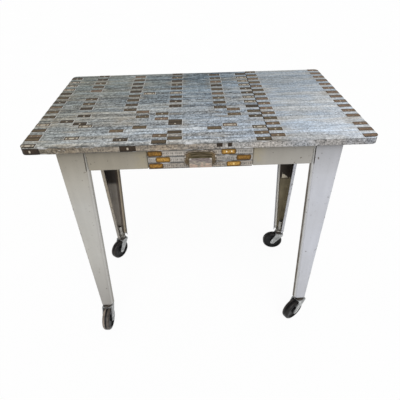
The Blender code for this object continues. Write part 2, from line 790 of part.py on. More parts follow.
def fork_outline():
    """The fork from the side, as (y, z): a crown round the stem and tapered cheeks down to the axle."""
    eye = (-TRAIL, WHEEL_RADIUS)
    skirt = CROWN_TOP - CROWN_SKIRT
    rise = skirt - WHEEL_RADIUS
    front = 180 - math.degrees(math.atan2(TRAIL - CROWN_REACH, rise))
    back = 270 + math.degrees(math.atan2(rise, CROWN_REACH + TRAIL))
    return [
        (CROWN_REACH, skirt),
        (CROWN_REACH, CROWN_TOP + FORK_SHEET),
        (-CROWN_REACH, CROWN_TOP + FORK_SHEET),
        (-CROWN_REACH, skirt),
        *arc(eye, FORK_EYE_RADIUS, front, back),
    ]


def fork_mesh():
    """A channel of thick sheet trimmed to the side outline, with holes for the stem's neck and the axle."""
    length = 4 * (TRAIL + CROWN_REACH)
    drop = CROWN_TOP
    bm = box_bmesh((FORK_OUTER, length, drop), (0, 0, CROWN_TOP - drop / 2))
    bm.normal_update()
    opened = [face for face in bm.faces if face.normal.z < -FACING or abs(face.normal.y) > FACING]
    bmesh.ops.delete(bm, geom=opened, context="FACES")
    fork = mesh_object("caster_fork", bm)
    add_folds(fork, BEND_RADIUS)
    add_thickness(fork, FORK_SHEET)
    side = bpy.data.objects.new(
        "fork_side", welded_mesh(outline_curve("fork_side", fork_outline(), 2 * FORK_OUTER))
    )
    TOOLS.objects.link(side)
    side.matrix_world = Matrix(((0, 0, 1, 0), (1, 0, 0, 0), (0, 1, 0, 0), (0, 0, 0, 1)))
    neck = cylinder("neck_hole", STEM_NECK_RADIUS + SEAT_GAP, 4 * FORK_SHEET)
    neck.location.z = CROWN_TOP - FORK_SHEET / 2
    eye = cylinder("axle_hole", AXLE_RADIUS + SEAT_GAP, 2 * FORK_OUTER)
    eye.location = (0, -TRAIL, WHEEL_RADIUS)
    eye.rotation_euler = AXIS_X_TURN
    add_boolean(fork, side, "INTERSECT")
    add_boolean(fork, neck, "DIFFERENCE")
    add_boolean(fork, eye, "DIFFERENCE")
    mesh = baked(fork, side, neck, eye)
    smooth_round(mesh)
    return mesh


def build_casters(root):
    wheel, axle, stem, fork = wheel_mesh(), axle_mesh(), stem_mesh(), fork_mesh()
    for corner, (sx, sy, _) in CORNERS.items():
        x = sx * (BASE_SIDE - STEM_INSET)
        y = BASE_BACK - STEM_INSET if sy > 0 else BASE_FRONT + STEM_INSET
        swivel = add_empty(f"swivel_{corner}", root, (x, y, 0), math.radians(SWIVELS[corner]))
        hub = (0, -TRAIL, WHEEL_RADIUS)
        add_object(f"caster_stem_{corner}", stem, BARE_STEEL, swivel)
        add_object(f"caster_fork_{corner}", fork, ZINC, swivel)
        add_object(f"caster_axle_{corner}", axle, ZINC, swivel, hub, AXIS_X_TURN)
        add_object(f"caster_wheel_{corner}", wheel, RUBBER, swivel, hub, AXIS_X_TURN)


def centre_footprint(root):
    """Moves the table so that the middle of its footprint is over the origin."""
    bpy.context.view_layer.update()
    graph = bpy.context.evaluated_depsgraph_get()
    places = []
    for part in PARTS.objects:
        if part.type == "EMPTY":
            continue
        shown = part.evaluated_get(graph)
        mesh = shown.to_mesh()
        places += [(shown.matrix_world @ vert.co).y for vert in mesh.vertices]
        shown.to_mesh_clear()
    root.location.y = -(min(places) + max(places)) / 2
    bpy.context.view_layer.update()


clear_scene()
PARTS = new_collection(COLLECTION_NAME)
TOOLS = new_collection("cutters")
WOOD = new_material("board_wood", (0.36, 0.27, 0.18), 0.75)
RULE_WOOD = new_material("weathered_rule", (0.38, 0.42, 0.45), 0.65)
PAINT = new_material("grey_white_paint", (0.62, 0.61, 0.60), 0.45)
BARE_STEEL = new_material("bare_steel", (0.42, 0.39, 0.35), 0.45, 0.8)
ZINC = new_material("zinc_plate", (0.62, 0.63, 0.63), 0.35, 0.9)
NICKEL = new_material("worn_nickel", (0.50, 0.47, 0.42), 0.30, 0.9)
RUBBER = new_material("black_rubber", (0.02, 0.02, 0.022), 0.55)

TABLE = add_empty("table", None)
build_top(TABLE)
build_base(TABLE)
build_drawer(TABLE)
build_casters(TABLE)
centre_footprint(TABLE)
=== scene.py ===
"""Looks of the workshop table: weathered rules, chipped enamel, worn metal, studio light and a camera.

Metres, +Z up, +Y towards the back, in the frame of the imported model. The rules with their plates, the
edge rules, the wheels and the pull are made again with finer detail. The other nodes keep their meshes
and take a finish.
"""

import json
import math
import random
from collections import defaultdict

import bmesh
import bpy
from mathutils import Matrix, Vector


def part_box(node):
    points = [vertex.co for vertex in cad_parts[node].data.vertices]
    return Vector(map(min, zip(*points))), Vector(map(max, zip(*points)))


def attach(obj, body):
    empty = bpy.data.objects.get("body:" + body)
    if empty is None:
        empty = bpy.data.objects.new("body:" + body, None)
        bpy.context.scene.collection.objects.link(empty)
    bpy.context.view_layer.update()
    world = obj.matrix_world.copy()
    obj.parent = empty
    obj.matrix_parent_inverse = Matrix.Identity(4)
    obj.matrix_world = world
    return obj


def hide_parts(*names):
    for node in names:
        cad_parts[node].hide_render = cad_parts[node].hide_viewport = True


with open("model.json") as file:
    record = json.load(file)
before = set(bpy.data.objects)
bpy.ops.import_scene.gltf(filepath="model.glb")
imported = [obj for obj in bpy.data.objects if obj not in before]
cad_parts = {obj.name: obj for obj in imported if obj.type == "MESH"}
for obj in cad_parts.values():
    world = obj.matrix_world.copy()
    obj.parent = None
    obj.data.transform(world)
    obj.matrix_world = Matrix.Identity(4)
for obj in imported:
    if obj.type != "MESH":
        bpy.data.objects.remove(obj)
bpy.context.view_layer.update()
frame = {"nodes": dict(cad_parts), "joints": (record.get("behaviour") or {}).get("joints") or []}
NODES = frame["nodes"]
RNG = random.Random(11)

CORNERS = ("front_left", "front_right", "rear_left", "rear_right")
TOP_NODES = sorted(name for name in NODES if name.startswith("top_rules_"))

# Sections of the rules
RULE_WIDTH = 0.0160
RULE_BEVEL = 0.0004
BEVEL_SHARE = 0.3
SETTLE = 0.00018
CORNER_RADIUS = 0.012
CORNER_STEPS = 12
RIGHT_BANK = 0.240
BANK_FADE = (0.06, 0.20)
SEAM_HALF = 0.0006
SEAM_REACH = 0.0030

# How far the solids' plates stand up, and how far below a level its faces are looked for
PLATE_HEIGHT = 0.0005
PLATE_SLACK = 0.0002
SECTION_SLACK = 0.0004

# Plates with their rims and rivets
COLUMN_ROWS = 5
PAIR_GAP = 0.0040
PLATE_STAND = 0.0003
PLATE_SPREAD = 0.0016
PLATE_BEVEL = 0.0002
PLATE_END = 0.0030
BURY = 0.0008
RIM_STAND = 0.0001
RIM_LEFT = 0.0009
RIM_RIGHT = 0.0016
RIM_FRONT = 0.0026
RIM_BACK = 0.0020
RIVET_RADIUS = 0.0014
RIVET_STEPS = 10
RIVET_STRAY = 0.0012
RIVET_LEVELS = ((-BURY, 0.0), (0.0001, 0.0001), (0.0002, 0.0005))
PIN_CHOICES = ((0.5,), (0.28, 0.72), (), (), ())

# Edge rules and their plates
EDGE_INSET = 0.0003
EDGE_THICKNESS = 0.0027
EDGE_JOINT = 0.0006
EDGE_PLATE_MARGIN = 0.0009
EDGE_PLATE_BEVEL = 0.0001
EDGE_CLEAR = 0.00003
EDGE_END = 0.0002

# The worn scale in the paint of a rule
MILLIMETRE = 0.001
CENTIMETRE = 0.010
LONG_PITCHES = (0.005, 0.010)
FINE_TICK_HALF = 0.00013
SHORT_TICK = 0.0016
LONGER_TICK = 0.0010
FIGURE_HALF = 0.0019
DIGIT_HALF = 0.0009
DIGIT_SHIFTS = (0.0036, 0.0063)

# Moods of the plates: how brown, whether a pale pin shows as a painted highlight, and whether the middle is
# rubbed pale
DARK_PLATE = (0.15, 0.8, 0.1)
PLAIN_PLATE = (0.15, 0.2, 0.1)
BROWN_PLATE = (0.75, 0.2, 0.1)
RUBBED = 0.95
UNRUBBED = 0.1

# Rubbed plates of the top: their left ends from the top's left end, with their rows counted from the back
RUBBED_ROWS = {
    0.0: (3, 5, 7, 22, 29),
    0.090: (27,),
    0.107: (23,),
    0.245: (10,),
    0.322: (10,),
    0.457: (24,),
    0.526: (3, 5, 7, 13, 15, 25),
}

# Plates on the edge rules, from the middle of each side, as seen from outside and counted to the right
EDGE_PLATES = {
    "front": (
        (-0.400, -0.358, DARK_PLATE, 0.0),
        (-0.180, -0.144, DARK_PLATE, 0.0),
        (0.037, 0.050, PLAIN_PLATE, 0.36),
        (0.062, 0.071, PLAIN_PLATE, 0.36),
    ),
    "rear": (
        (-0.330, -0.296, DARK_PLATE, 0.0),
        (-0.092, -0.058, BROWN_PLATE, 0.0),
        (0.146, 0.180, DARK_PLATE, 0.0),
    ),
    "left": (
        (-0.128, -0.094, BROWN_PLATE, 0.0),
        (0.110, 0.144, DARK_PLATE, 0.0),
        (0.215, 0.240, PLAIN_PLATE, 0.0),
    ),
    "right": ((-0.236, -0.204, BROWN_PLATE, 0.0), (0.002, 0.036, DARK_PLATE, 0.0)),
}
EDGE_JOINTS = {"front": (-0.144, 0.258), "rear": (-0.058, 0.180), "left": (0.144,), "right": (0.036,)}

# Plates on the drawer's rules: how golden, whether a pale pin shows as a painted highlight, and whether the
# middle is rubbed; the places of their rivets, whose bright heads are painted highlights; and how far each
# stands off the raised plate of its solid
BRASS_MOODS = (
    (0.25, 0.2, 0.1),
    (0.75, 0.2, 0.1),
    (0.70, 0.2, 0.1),
    (0.20, 0.2, 0.1),
    (0.35, 0.2, 0.1),
    (0.80, 0.8, 0.1),
)
BRASS_GLINT_PINS = ((), (0.36, 0.70), (), (), (), ())
BRASS_SHIFTS = (0.0, -0.0045, -0.0060, -0.0036, -0.0015, -0.0040)
BRASS_RIVET_RADIUS = 0.0022
BRASS_CUT = 0.0032

# Print on the drawer's rules
PLAIN_TONE = (0.5, 0.5, 0.5)
PRINT_STAND = 0.00005
FIRST_FIGURES = (11, 60)
FIGURE_SIZE = 0.0064
FIGURE_START = 0.006
FIGURE_PITCH = 0.62
FIGURE_MIDDLE = 0.36
TICK_PITCH = 0.005
TICK_START = 0.0035
TICK_FOOT = 0.0006
TICK_LENGTH = 0.0024
TICK_HALF = 0.0004
LONG_TICK = 1.4

# Cup pull
PULL_SHEET = 0.0012
PULL_FLANGE = 0.0090
PULL_TAPER = 0.0025
PULL_DROP = 0.0055
PULL_CORNER = 0.0080
PULL_RIDGE = 0.0006
PULL_SPLAY = 0.0050
PULL_BROW = 0.0022
BROW_ANGLES = (30, 60, 85)
BROW_DRAWN = 0.5
BROW_REACH = 0.96
PULL_CROWN = 0.0042
CROWN_STEPS = 8
ARCH_STEPS = 10
FRONT_CORNER = 0.0030
INNER_CORNER = 0.4
FRONT_CLEAR = 0.00002
SHEET_SLACK = 0.0001
SLOPE_START = 0.0030
SLOPE_STEPS = 14
SPLAY_POWER = 1.6
RIDGES = ((0.0050, 0.0011), (0.0115, 0.0009))
SCREW_RADIUS = 0.0020
SCREW_STEPS = 20
SCREW_INSET = 0.28
SCREW_LEVELS = ((-0.0003, 0.0), (0.0004, 0.0), (0.0008, 0.0006), (0.0010, 0.0013))

# Two arches of the fillet between the pull's flange and its hood: how far out, up, rounder and lifted
PULL_FILLET = ((0.0016, 0.0012, 0.0032, 0.0), (0.0006, 0.0006, 0.0024, 0.0005))

# Wheels
WHEEL_STEPS = 80
TREAD_ROUNDING = 0.0075
WEB_WIDTH = 0.0150
RIM_DEPTH = 0.0098
HUB_RADIUS = 0.0105
BORE_RADIUS = 0.0034
RIM_SHARE = 0.7
TREAD_STEPS = 8
WHEEL_DUST = {"front_left": 1.0, "front_right": 0.15, "rear_left": 0.30, "rear_right": 0.15}

# Half of a wheel's section from the bore to the tread: each point's offset from a level along the axle and
# from a radius
WHEEL_POINTS = (
    ("hub", -0.0006, "bore", 0.0),
    ("hub", 0.0, "bore", 0.0006),
    ("hub", 0.0, "hub", -0.0008),
    ("hub", -0.0008, "hub", 0.0),
    ("web", 0.0012, "hub", 0.0004),
    ("web", 0.0, "hub", 0.0022),
    ("web", 0.0, "rim", -0.0024),
    ("web", 0.0010, "rim", -0.0006),
    ("face", -0.0010, "rim", 0.0),
    ("face", -0.0001, "rim", 0.0010),
)

# Enamel: the height of the top's underside, and how far below it the painted shade under the top reaches
EAVES = 0.660
EAVES_REACH = 0.085

# The legs' inner lips: how far their paint is lightened as painted light in their shade, how dark the half
# away from the fold is, how dark the line along the fold is, and how dark that line is beside the apron,
# where it is painted shadow of the gap
LIP_LOOKS = {
    "leg_front_left": (0.42, 0.40, 0.05, 0.80),
    "leg_front_right": (0.80, 0.97, 0.10, 0.97),
    "leg_rear_left": (0.50, 0.30, 0.30, 0.30),
    "leg_rear_right": (0.90, 0.0, 0.20, 0.20),
}
LIP_START = 0.020
LIP_DARK_START = 0.0052
LIP_DARK_END = 0.0068
APRON_FOOT = 0.607

# The legs' bare insides: the steel's tones and roughness, and the height of the painted shadow's lower edge
PLAIN_STEEL = ((104, 95, 82), (126, 117, 103), (144, 135, 120))
LEG_STEEL = {
    "leg_rear_left": ((116, 110, 102), (140, 134, 126), (158, 152, 144)),
    "leg_rear_right": ((106, 97, 76), (128, 118, 94), (146, 136, 110)),
}
STEEL_ROUGHNESS = (0.6, 0.6, 0.6, 1.0)
SHADOW_LINE = 0.335
WALL_DEPTH = 0.004

# The pale paint that runs round the free edge of a rear leg's wall, lightened as painted light in the leg's
# shade, with the width of the brown strip of painted shadow beside it
WALL_AT_FOOT = 0.030
WALL_AT_TOP = 0.066
PAINTED_BORDER = 0.0062
LIT_BORDER_PAINT = {"leg_rear_left": (182, 170, 148), "leg_rear_right": (222, 220, 214)}
SHADOW_BORDER = {"leg_rear_left": 0.0085, "leg_rear_right": 0.0032}

# A pale ragged patch in the right rear leg
PATCH_LEG = "leg_rear_right"
PATCH_LEFT = 0.299
PATCH_RIGHT = 0.328
PATCH_FOOT = 0.336
PATCH_HEIGHT = 0.019
PATCH_RAGGED = 0.022

# Light and camera, fitted to the photo
CAMERA_PLACE = (-0.01232, -0.930722, 1.05020)
CAMERA_YAW = 0.0126
CAMERA_PITCH = 0.6544
CAMERA_ROLL = -0.0265
CAMERA_FOCAL = 0.8752
SENSOR_WIDTH = 36.0
CLIP_START = 0.01
WHITE = (1.0, 1.0, 1.0, 1.0)
KEY_ELEVATION = math.radians(46.0)
KEY_AZIMUTH = math.radians(6.0)
KEY_ANGLE = math.radians(50.0)
KEY_STRENGTH = 2.2
SKY_STRENGTH = 0.45
BACKDROP_STRENGTH = 1.0
FLOOR_REACH = 14.0
FLOOR_GLOW = 0.945


# Finishes


def paint(red, green, blue):
    """A colour of the photo, 0 to 255, as the linear colour that a shader takes."""

    def linear(level):
        level /= 255
        return level / 12.92 if level <= 0.04045 else ((level + 0.055) / 1.055) ** 2.4

    return (linear(red), linear(green), linear(blue), 1.0)


class Finish:
    """The node tree of one material, with short calls for the nodes that the finishes share."""

    def __init__(self, name):
        self.material = bpy.data.materials.new(name)
        self.material.use_nodes = True
        self.tree = self.material.node_tree
        self.shader = self.tree.nodes["Principled BSDF"]
        self.colour = None

    def feed(self, socket, value):
        if isinstance(value, bpy.types.NodeSocket):
            self.tree.links.new(value, socket)
        else:
            socket.default_value = value

    def node(self, kind, inputs=None, **settings):
        made = self.tree.nodes.new(kind)
        for name, value in settings.items():
            setattr(made, name, value)
        for key, value in (inputs or {}).items():
            self.feed(made.inputs[key], value)
        return made

    def calc(self, operation, *values):
        return self.node("ShaderNodeMath", dict(enumerate(values)), operation=operation).outputs[0]

    def chain(self, operation, first, *others):
        for value in others:
            first = self.calc(operation, first, value)
        return first

    def total(self, *values):
        return self.chain("ADD", *values)

    def product(self, *values):
        return self.chain("MULTIPLY", *values)

    def most(self, *values):
        return self.chain("MAXIMUM", *values)

    def least(self, *values):
        return self.chain("MINIMUM", *values)

    def minus(self, first, second):
        return self.calc("SUBTRACT", first, second)

    def size(self, value):
        return self.calc("ABSOLUTE", value)

    def apart(self, first, second):
        return self.size(self.minus(first, second))

    def above(self, value, limit):
        return self.calc("GREATER_THAN", value, limit)

    def below(self, value, limit):
        return self.calc("LESS_THAN", value, limit)

    def inset(self, value, length):
        """How far a value lies from the nearer end of a length."""
        return self.least(value, self.minus(length, value))

    def swing(self, value, amount):
        """A value round one half, as a swing of the amount round zero."""
        return self.product(self.minus(value, 0.5), amount)

    def step(self, value, start, end, low=0.0, high=1.0):
        """Runs from low to high while the value runs from start to end, and stays level outside."""
        inputs = {0: value, 1: start, 2: end, 3: low, 4: high}
        return self.node("ShaderNodeMapRange", inputs).outputs[0]

    def mix(self, share, first, second, blend="MIX"):
        inputs = {0: share, 6: first, 7: second}
        return self.node("ShaderNodeMix", inputs, data_type="RGBA", blend_type=blend).outputs[2]

    def shade(self, factor):
        """Darkens or brightens the colour so far."""
        inputs = {0: self.colour, "Scale": factor}
        self.colour = self.node("ShaderNodeVectorMath", inputs, operation="SCALE").outputs[0]

    def coat(self, tone, *masks):
        """Lays a tone of the photo over the colour so far, as far as the product of the masks."""
        self.colour = self.mix(self.product(*masks), self.colour, paint(*tone))

    def ramp(self, value, *stops):
        """A colour by value. Each stop is a value with the red, green and blue of the photo there."""
        made = self.node("ShaderNodeValToRGB", {0: value})
        elements = made.color_ramp.elements
        for _ in range(len(stops) - 2):
            elements.new(1.0)
        for element, (place, *tone) in zip(elements, stops):
            element.position = place
            element.color = paint(*tone)
        return made.outputs[0]

    def noise(self, vector, scale, detail=4.0, rough=0.55):
        """Clouds from 0 to 1. A scale of three numbers stretches them along the axes."""
        if isinstance(scale, tuple):
            inputs = {0: vector, 1: scale}
            vector = self.node("ShaderNodeVectorMath", inputs, operation="MULTIPLY").outputs[0]
            scale = 1.0
        inputs = {"Vector": vector, "Scale": scale, "Detail": detail, "Roughness": rough}
        return self.node("ShaderNodeTexNoise", inputs).outputs[0]

    def parts(self, vector):
        return self.node("ShaderNodeSeparateXYZ", {0: vector}).outputs[:3]

    def place(self):
        return self.node("ShaderNodeTexCoord").outputs["Object"]

    def attribute(self, name):
        return self.node("ShaderNodeAttribute", attribute_name=name).outputs["Vector"]

    def normal(self):
        return self.node("ShaderNodeNewGeometry").outputs["Normal"]

    def dot(self, first, second):
        inputs = {0: first, 1: second}
        return self.node("ShaderNodeVectorMath", inputs, operation="DOT_PRODUCT").outputs[1]

    def facing(self, direction):
        """How far the surface faces a direction, from -1 to 1."""
        return self.dot(self.normal(), direction)

    def edges(self, radius, start=0.01, end=0.12):
        """1 on the sharp edges of the mesh, 0 away from them."""
        soft = self.node("ShaderNodeBevel", {"Radius": radius}, samples=4).outputs[0]
        return self.step(self.dot(soft, self.normal()), 1.0 - start, 1.0 - end)

    def folds(self):
        """1 on the rounded outside of an upright fold, which faces neither straight along x nor along y."""
        x, y, _ = self.parts(self.normal())
        return self.step(self.least(self.size(x), self.size(y)), 0.22, 0.34)

    def fold_line(self):
        """1 on the half of an upright fold that lies next to the face that looks along y."""
        aside = self.size(self.parts(self.normal())[0])
        return self.product(self.step(aside, 0.15, 0.25), self.step(aside, 0.75, 0.60))

    def bump(self, height, depth, strength=1.0):
        inputs = {"Height": height, "Distance": depth, "Strength": strength}
        return self.node("ShaderNodeBump", inputs).outputs[0]

    def done(self, roughness, normal=None, metallic=0.0, specular=0.5):
        self.feed(self.shader.inputs["Base Color"], self.colour)
        self.feed(self.shader.inputs["Roughness"], roughness)
        self.feed(self.shader.inputs["Metallic"], metallic)
        self.feed(self.shader.inputs["Specular IOR Level"], specular)
        if normal:
            self.feed(self.shader.inputs["Normal"], normal)
        return self.material

    def worn(self, texture, rough, relief, **settings):
        """Ends a finish whose roughness (low, high) and relief (depth, strength) follow one texture."""
        roughness = self.step(texture, 0.3, 0.7, *rough)
        return self.done(roughness, self.bump(texture, *relief), **settings)


def repeat(finish, value, pitch, half):
    """1 within a half width of every multiple of a pitch."""
    phase = finish.calc("FRACT", finish.total(finish.calc("DIVIDE", value, pitch), 0.5))
    return finish.below(finish.apart(phase, 0.5), half / pitch)


def scale_print(finish, along, edge, grain):
    """The printed scale of a rule: ticks along both edges and a worn figure at every centimetre."""
    longer = [finish.product(repeat(finish, along, pitch, TICK_HALF), LONGER_TICK) for pitch in LONG_PITCHES]
    short = finish.below(edge, finish.total(*longer, SHORT_TICK))
    ticks = finish.product(repeat(finish, along, MILLIMETRE, FINE_TICK_HALF), short)
    inner = finish.above(edge, RULE_WIDTH / 2 - FIGURE_HALF)
    digits = [repeat(finish, finish.total(along, shift), CENTIMETRE, DIGIT_HALF) for shift in DIGIT_SHIFTS]
    figures = finish.product(inner, finish.most(*digits), finish.step(grain, 0.42, 0.50))
    return finish.most(ticks, figures)


def rule_finish(name, back, front, specks=1.0, printed=0.5, columns=(), grain=1.0, gap=0.20, calm=1.0):
    """Weathered paint on wood, with tones by place, streaks along the rule, flakes, cracks and a worn scale.

    'along' holds the place on the section and 'tone' its mood. The wood is bare near the columns of plates.
    """
    finish = Finish(name)
    along = finish.attribute("along")
    run, across, _ = finish.parts(along)
    hue, light, print_share = finish.parts(finish.attribute("tone"))
    place = finish.place()
    x, y, _ = finish.parts(place)
    share = finish.step(x, -0.40, 0.40)
    bank = finish.step(x, *BANK_FADE, 1.0, 0.45)
    forward = finish.step(y, 0.16, -0.19)
    finish.colour = finish.mix(forward, finish.ramp(share, *back), finish.ramp(share, *front))
    streak = finish.noise(along, (12.0, 130.0, 9.0), 5.0, 0.65)
    dash = finish.noise(along, (140.0, 120.0, 5.0), 3.0, 0.65)
    speck = finish.noise(place, (290.0, 180.0, 290.0), 3.0, 0.70)
    patch = finish.noise(place, (6.0, 16.0, 6.0), 3.0)
    tint = finish.noise(place, (11.0, 45.0, 11.0), 3.0)
    warm = finish.mix(1.0, finish.colour, paint(255, 250, 241), "MULTIPLY")
    cool = finish.mix(1.0, finish.colour, paint(243, 250, 255), "MULTIPLY")
    turn = finish.total(tint, finish.swing(hue, 0.25))
    finish.colour = finish.mix(finish.step(turn, 0.36, 0.64), cool, warm)
    shade = finish.total(
        1.0,
        finish.product(finish.swing(streak, 1.9 * grain), bank),
        finish.product(finish.swing(dash, 2.3 * grain), bank),
        finish.product(finish.swing(speck, 3.2 * specks), finish.step(x, *BANK_FADE, 1.0, calm)),
        finish.swing(patch, 0.5),
        finish.product(finish.swing(light, 0.66), bank),
    )
    finish.shade(finish.most(shade, 0.30))
    for centre in columns:
        near = finish.step(finish.apart(x, centre), 0.040, 0.014)
        finish.coat((158, 148, 132), near, finish.step(tint, 0.48, 0.66, 0.0, 0.55))
    flake = finish.noise(along, (60.0, 380.0, 3.0), 3.0, 0.7)
    finish.coat((214, 217, 222), finish.step(flake, 0.64, 0.70, 0.0, 0.6))
    worn = finish.noise(along, (30.0, 90.0, 4.0), 2.0)
    crack = finish.step(finish.apart(finish.noise(along, (4.0, 190.0, 2.0), 3.0), 0.5), 0.012, 0.004)
    finish.coat((66, 70, 74), crack, finish.step(worn, 0.48, 0.62, 0.0, 0.7))
    edge = finish.inset(across, RULE_WIDTH)
    seen = finish.product(finish.step(worn, 0.40, 0.56), finish.step(print_share, 0.15, 1.0, 0.0, printed))
    marks = finish.product(scale_print(finish, run, edge, finish.noise(along, (900.0, 700.0, 1.0))), seen)
    finish.coat((52, 54, 56), marks)
    grime = finish.step(worn, 0.58, 0.40, gap, 0.85)
    finish.coat((64, 66, 66), finish.step(edge, 0.0030, 0.0008), grime, bank)
    rubbed = finish.step(worn, 0.56, 0.64, 0.0, 0.7)
    finish.coat((206, 208, 210), finish.step(edge, 0.0026, 0.0010), rubbed)
    roughness = finish.step(streak, 0.3, 0.7, 0.72, 0.46)
    relief = finish.total(streak, finish.swing(dash, 0.8), finish.swing(marks, -0.3))
    return finish.done(roughness, finish.bump(relief, 0.0005, 0.4), specular=0.35)


def plate_finish(name, tones, dark, pale, length, width, border, mottle):
    """Patina on a hinge plate: a painted shade, darker at its front and lighter at its far half, a dark
    border, a pale pin painted as its highlight and on some a rubbed middle.
    """
    finish = Finish(name)
    along = finish.attribute("along")
    run, across, _ = finish.parts(along)
    hue, pin, rub = finish.parts(finish.attribute("tone"))
    blotch = finish.noise(along, 330.0, 3.0, 0.65)
    cloud = finish.noise(along, 90.0, 2.0)
    finish.colour = finish.ramp(finish.total(hue, finish.swing(cloud, 0.5)), *tones)
    # Painted shade of the raised plate: darker at its front, lighter at its far half
    far = finish.step(across, width * 0.2, width * 0.9, 0.85, 1.15)
    finish.shade(finish.total(far, finish.swing(blotch, mottle)))
    inside = finish.least(finish.inset(run, length), finish.inset(across, width))
    from_middle = finish.apart(run, length / 2)
    from_line = finish.apart(across, width / 2)
    spots = finish.product(
        finish.step(finish.apart(from_middle, length * 0.24), 0.0030, 0.0018),
        finish.step(from_line, 0.0034, 0.0024),
        0.9,
    )
    worn = finish.step(rub, 0.80, 0.84, 0.0, 0.85)
    finish.coat(pale, finish.step(inside, 0.0026, 0.0036), worn, finish.minus(1.0, spots))
    # A pale dot on the pin, painted as its highlight
    dot = finish.product(finish.step(from_middle, 0.0024, 0.0014), finish.step(from_line, 0.0034, 0.0022))
    finish.coat(pale, dot, finish.step(pin, 0.50, 0.56, 0.0, 0.85))
    finish.coat(dark, finish.step(inside, border, border * 0.3, 0.0, 0.8))
    return finish.worn(blotch, (0.35, 0.60), (0.0003, 0.5), specular=0.2)


def rim_finish():
    """Bare pale wood and filler round a plate, where the paint has come away."""
    finish = Finish("plate_rim")
    grain = finish.noise(finish.attribute("along"), (300.0, 900.0, 1.0), 4.0)
    finish.colour = finish.ramp(grain, (0.30, 150, 146, 138), (0.48, 192, 191, 187), (0.66, 216, 217, 216))
    return finish.worn(grain, (0.6, 0.8), (0.0003, 0.4))


def rivet_finish(name, dark, bright):
    """A rubbed rivet head."""
    finish = Finish(name)
    spots = finish.noise(finish.place(), 900.0, 3.0)
    finish.colour = finish.ramp(spots, (0.35, *dark), (0.60, *bright))
    return finish.worn(spots, (0.35, 0.6), (0.0002, 0.3), metallic=0.3)


def enamel_finish(name, left=(167, 165, 159), right=(181, 183, 190), stain=0.0, leg=None):
    """Grey-white enamel, warm on the left and cool on the right, with grime, runs, chips, worn edges and
    a painted shade that warms and darkens it under the top.

    On a leg, the inside is bare steel. The lip that faces the middle is lightened as painted light in its
    shade, darker on its far half and dark along its fold, where the line beside the apron is painted shadow
    of the gap.
    """
    finish = Finish(name)
    place = finish.place()
    x, _, z = finish.parts(place)
    cloud = finish.noise(place, 7.0, 4.0)
    runs = finish.noise(place, (70.0, 70.0, 6.0), 4.0)
    peel = finish.noise(place, 700.0, 2.0)
    speck = finish.noise(place, 150.0, 3.0, 0.6)
    large = finish.noise(place, 46.0, 4.0, 0.6)
    side = finish.step(x, -0.33, 0.30)
    finish.colour = finish.mix(side, paint(*left), paint(*right))
    dull = finish.step(z, 0.32, 0.13, 0.0, 0.75)
    finish.coat((134, 131, 127), dull, finish.step(side, 0.0, 1.0, 1.0, 0.25))
    # Painted shade under the top: the enamel turns warmer and then darker towards the top's underside
    warm = finish.step(z, 0.50, EAVES, 0.0, 0.9)
    finish.coat((144, 136, 119), warm, finish.step(side, 0.0, 1.0, 1.0, 0.2))
    top_shade = finish.step(z, EAVES - EAVES_REACH, EAVES, 1.04, 0.72)
    finish.shade(finish.total(top_shade, finish.swing(runs, 0.18), finish.swing(large, 0.10)))
    finish.coat((146, 140, 126), finish.step(cloud, 0.44, 0.72, 0.0, 0.14))
    if stain:
        near = finish.step(finish.size(x), 0.160, 0.118)
        finish.coat((160, 146, 108), near, finish.step(large, 0.38, 0.60, 0.05, stain))
    folds = finish.folds()
    if leg:
        away = lip_side(finish, place, leg)
        folds = finish.product(folds, finish.minus(1.0, away))
        lip_coats(finish, place, leg, away, large)
    dashes = finish.noise(place, (60.0, 60.0, 110.0), 3.0, 0.65)
    edge = finish.most(finish.edges(0.0010), folds)
    rubbed = finish.product(edge, finish.step(dashes, 0.57, 0.63, 0.0, 0.8))
    chips = finish.most(finish.step(speck, 0.690, 0.710), finish.step(large, 0.715, 0.725), rubbed)
    finish.coat((68, 57, 46), chips, 0.85)
    roughness = finish.step(cloud, 0.3, 0.7, 0.36, 0.55)
    if leg:
        bare = leg_inside(finish, place, leg)
        finish.colour = finish.mix(bare, finish.colour, leg_steel(finish, place, leg))
        roughness = finish.mix(bare, roughness, STEEL_ROUGHNESS)
    relief = finish.minus(finish.product(peel, 0.25), chips)
    return finish.done(roughness, finish.bump(relief, 0.0003, 0.35), specular=0.4)


def leg_corner(name):
    """The outer corner of a leg in x and y, with the directions in which it points out of the table."""
    low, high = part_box(name)
    sign_x = -1 if "left" in name else 1
    sign_y = -1 if "front" in name else 1
    return (low.x if sign_x < 0 else high.x, low.y if sign_y < 0 else high.y), (sign_x, sign_y)


def lip_side(finish, place, name):
    """A mask for the part of a leg that lies away from its outer corner, along x."""
    (corner_x, _), _ = leg_corner(name)
    x, _, _ = finish.parts(place)
    return finish.above(finish.apart(x, corner_x), LIP_START)


def lip_coats(finish, place, leg, away, grain):
    """Lays on a lip's paint, lightened as painted light in its shade, a darker far half and a dark line along
    its fold, which beside the apron is painted shadow of the gap.
    """
    pale, far_dark, fold_dark, gap_shadow = LIP_LOOKS[leg]
    (_, corner_y), (sign_x, _) = leg_corner(leg)
    _, y, z = finish.parts(place)
    lip = finish.product(finish.step(finish.facing((-sign_x, 0.0, 0.0)), 0.6, 0.8), away)
    # Painted light: the lip's paint is made paler where it lies in shade
    finish.coat((212, 211, 207), lip, pale)
    deep = finish.step(finish.apart(y, corner_y), LIP_DARK_START, LIP_DARK_END, 0.0, far_dark)
    finish.coat((80, 69, 52), lip, deep, finish.step(grain, 0.35, 0.55, 0.8, 1.0))
    # Beside the apron the fold line is darker: painted shadow of the gap between leg and apron
    strength = finish.step(z, APRON_FOOT - 0.003, APRON_FOOT + 0.001, fold_dark, gap_shadow)
    finish.coat((38, 32, 24), finish.fold_line(), away, strength)


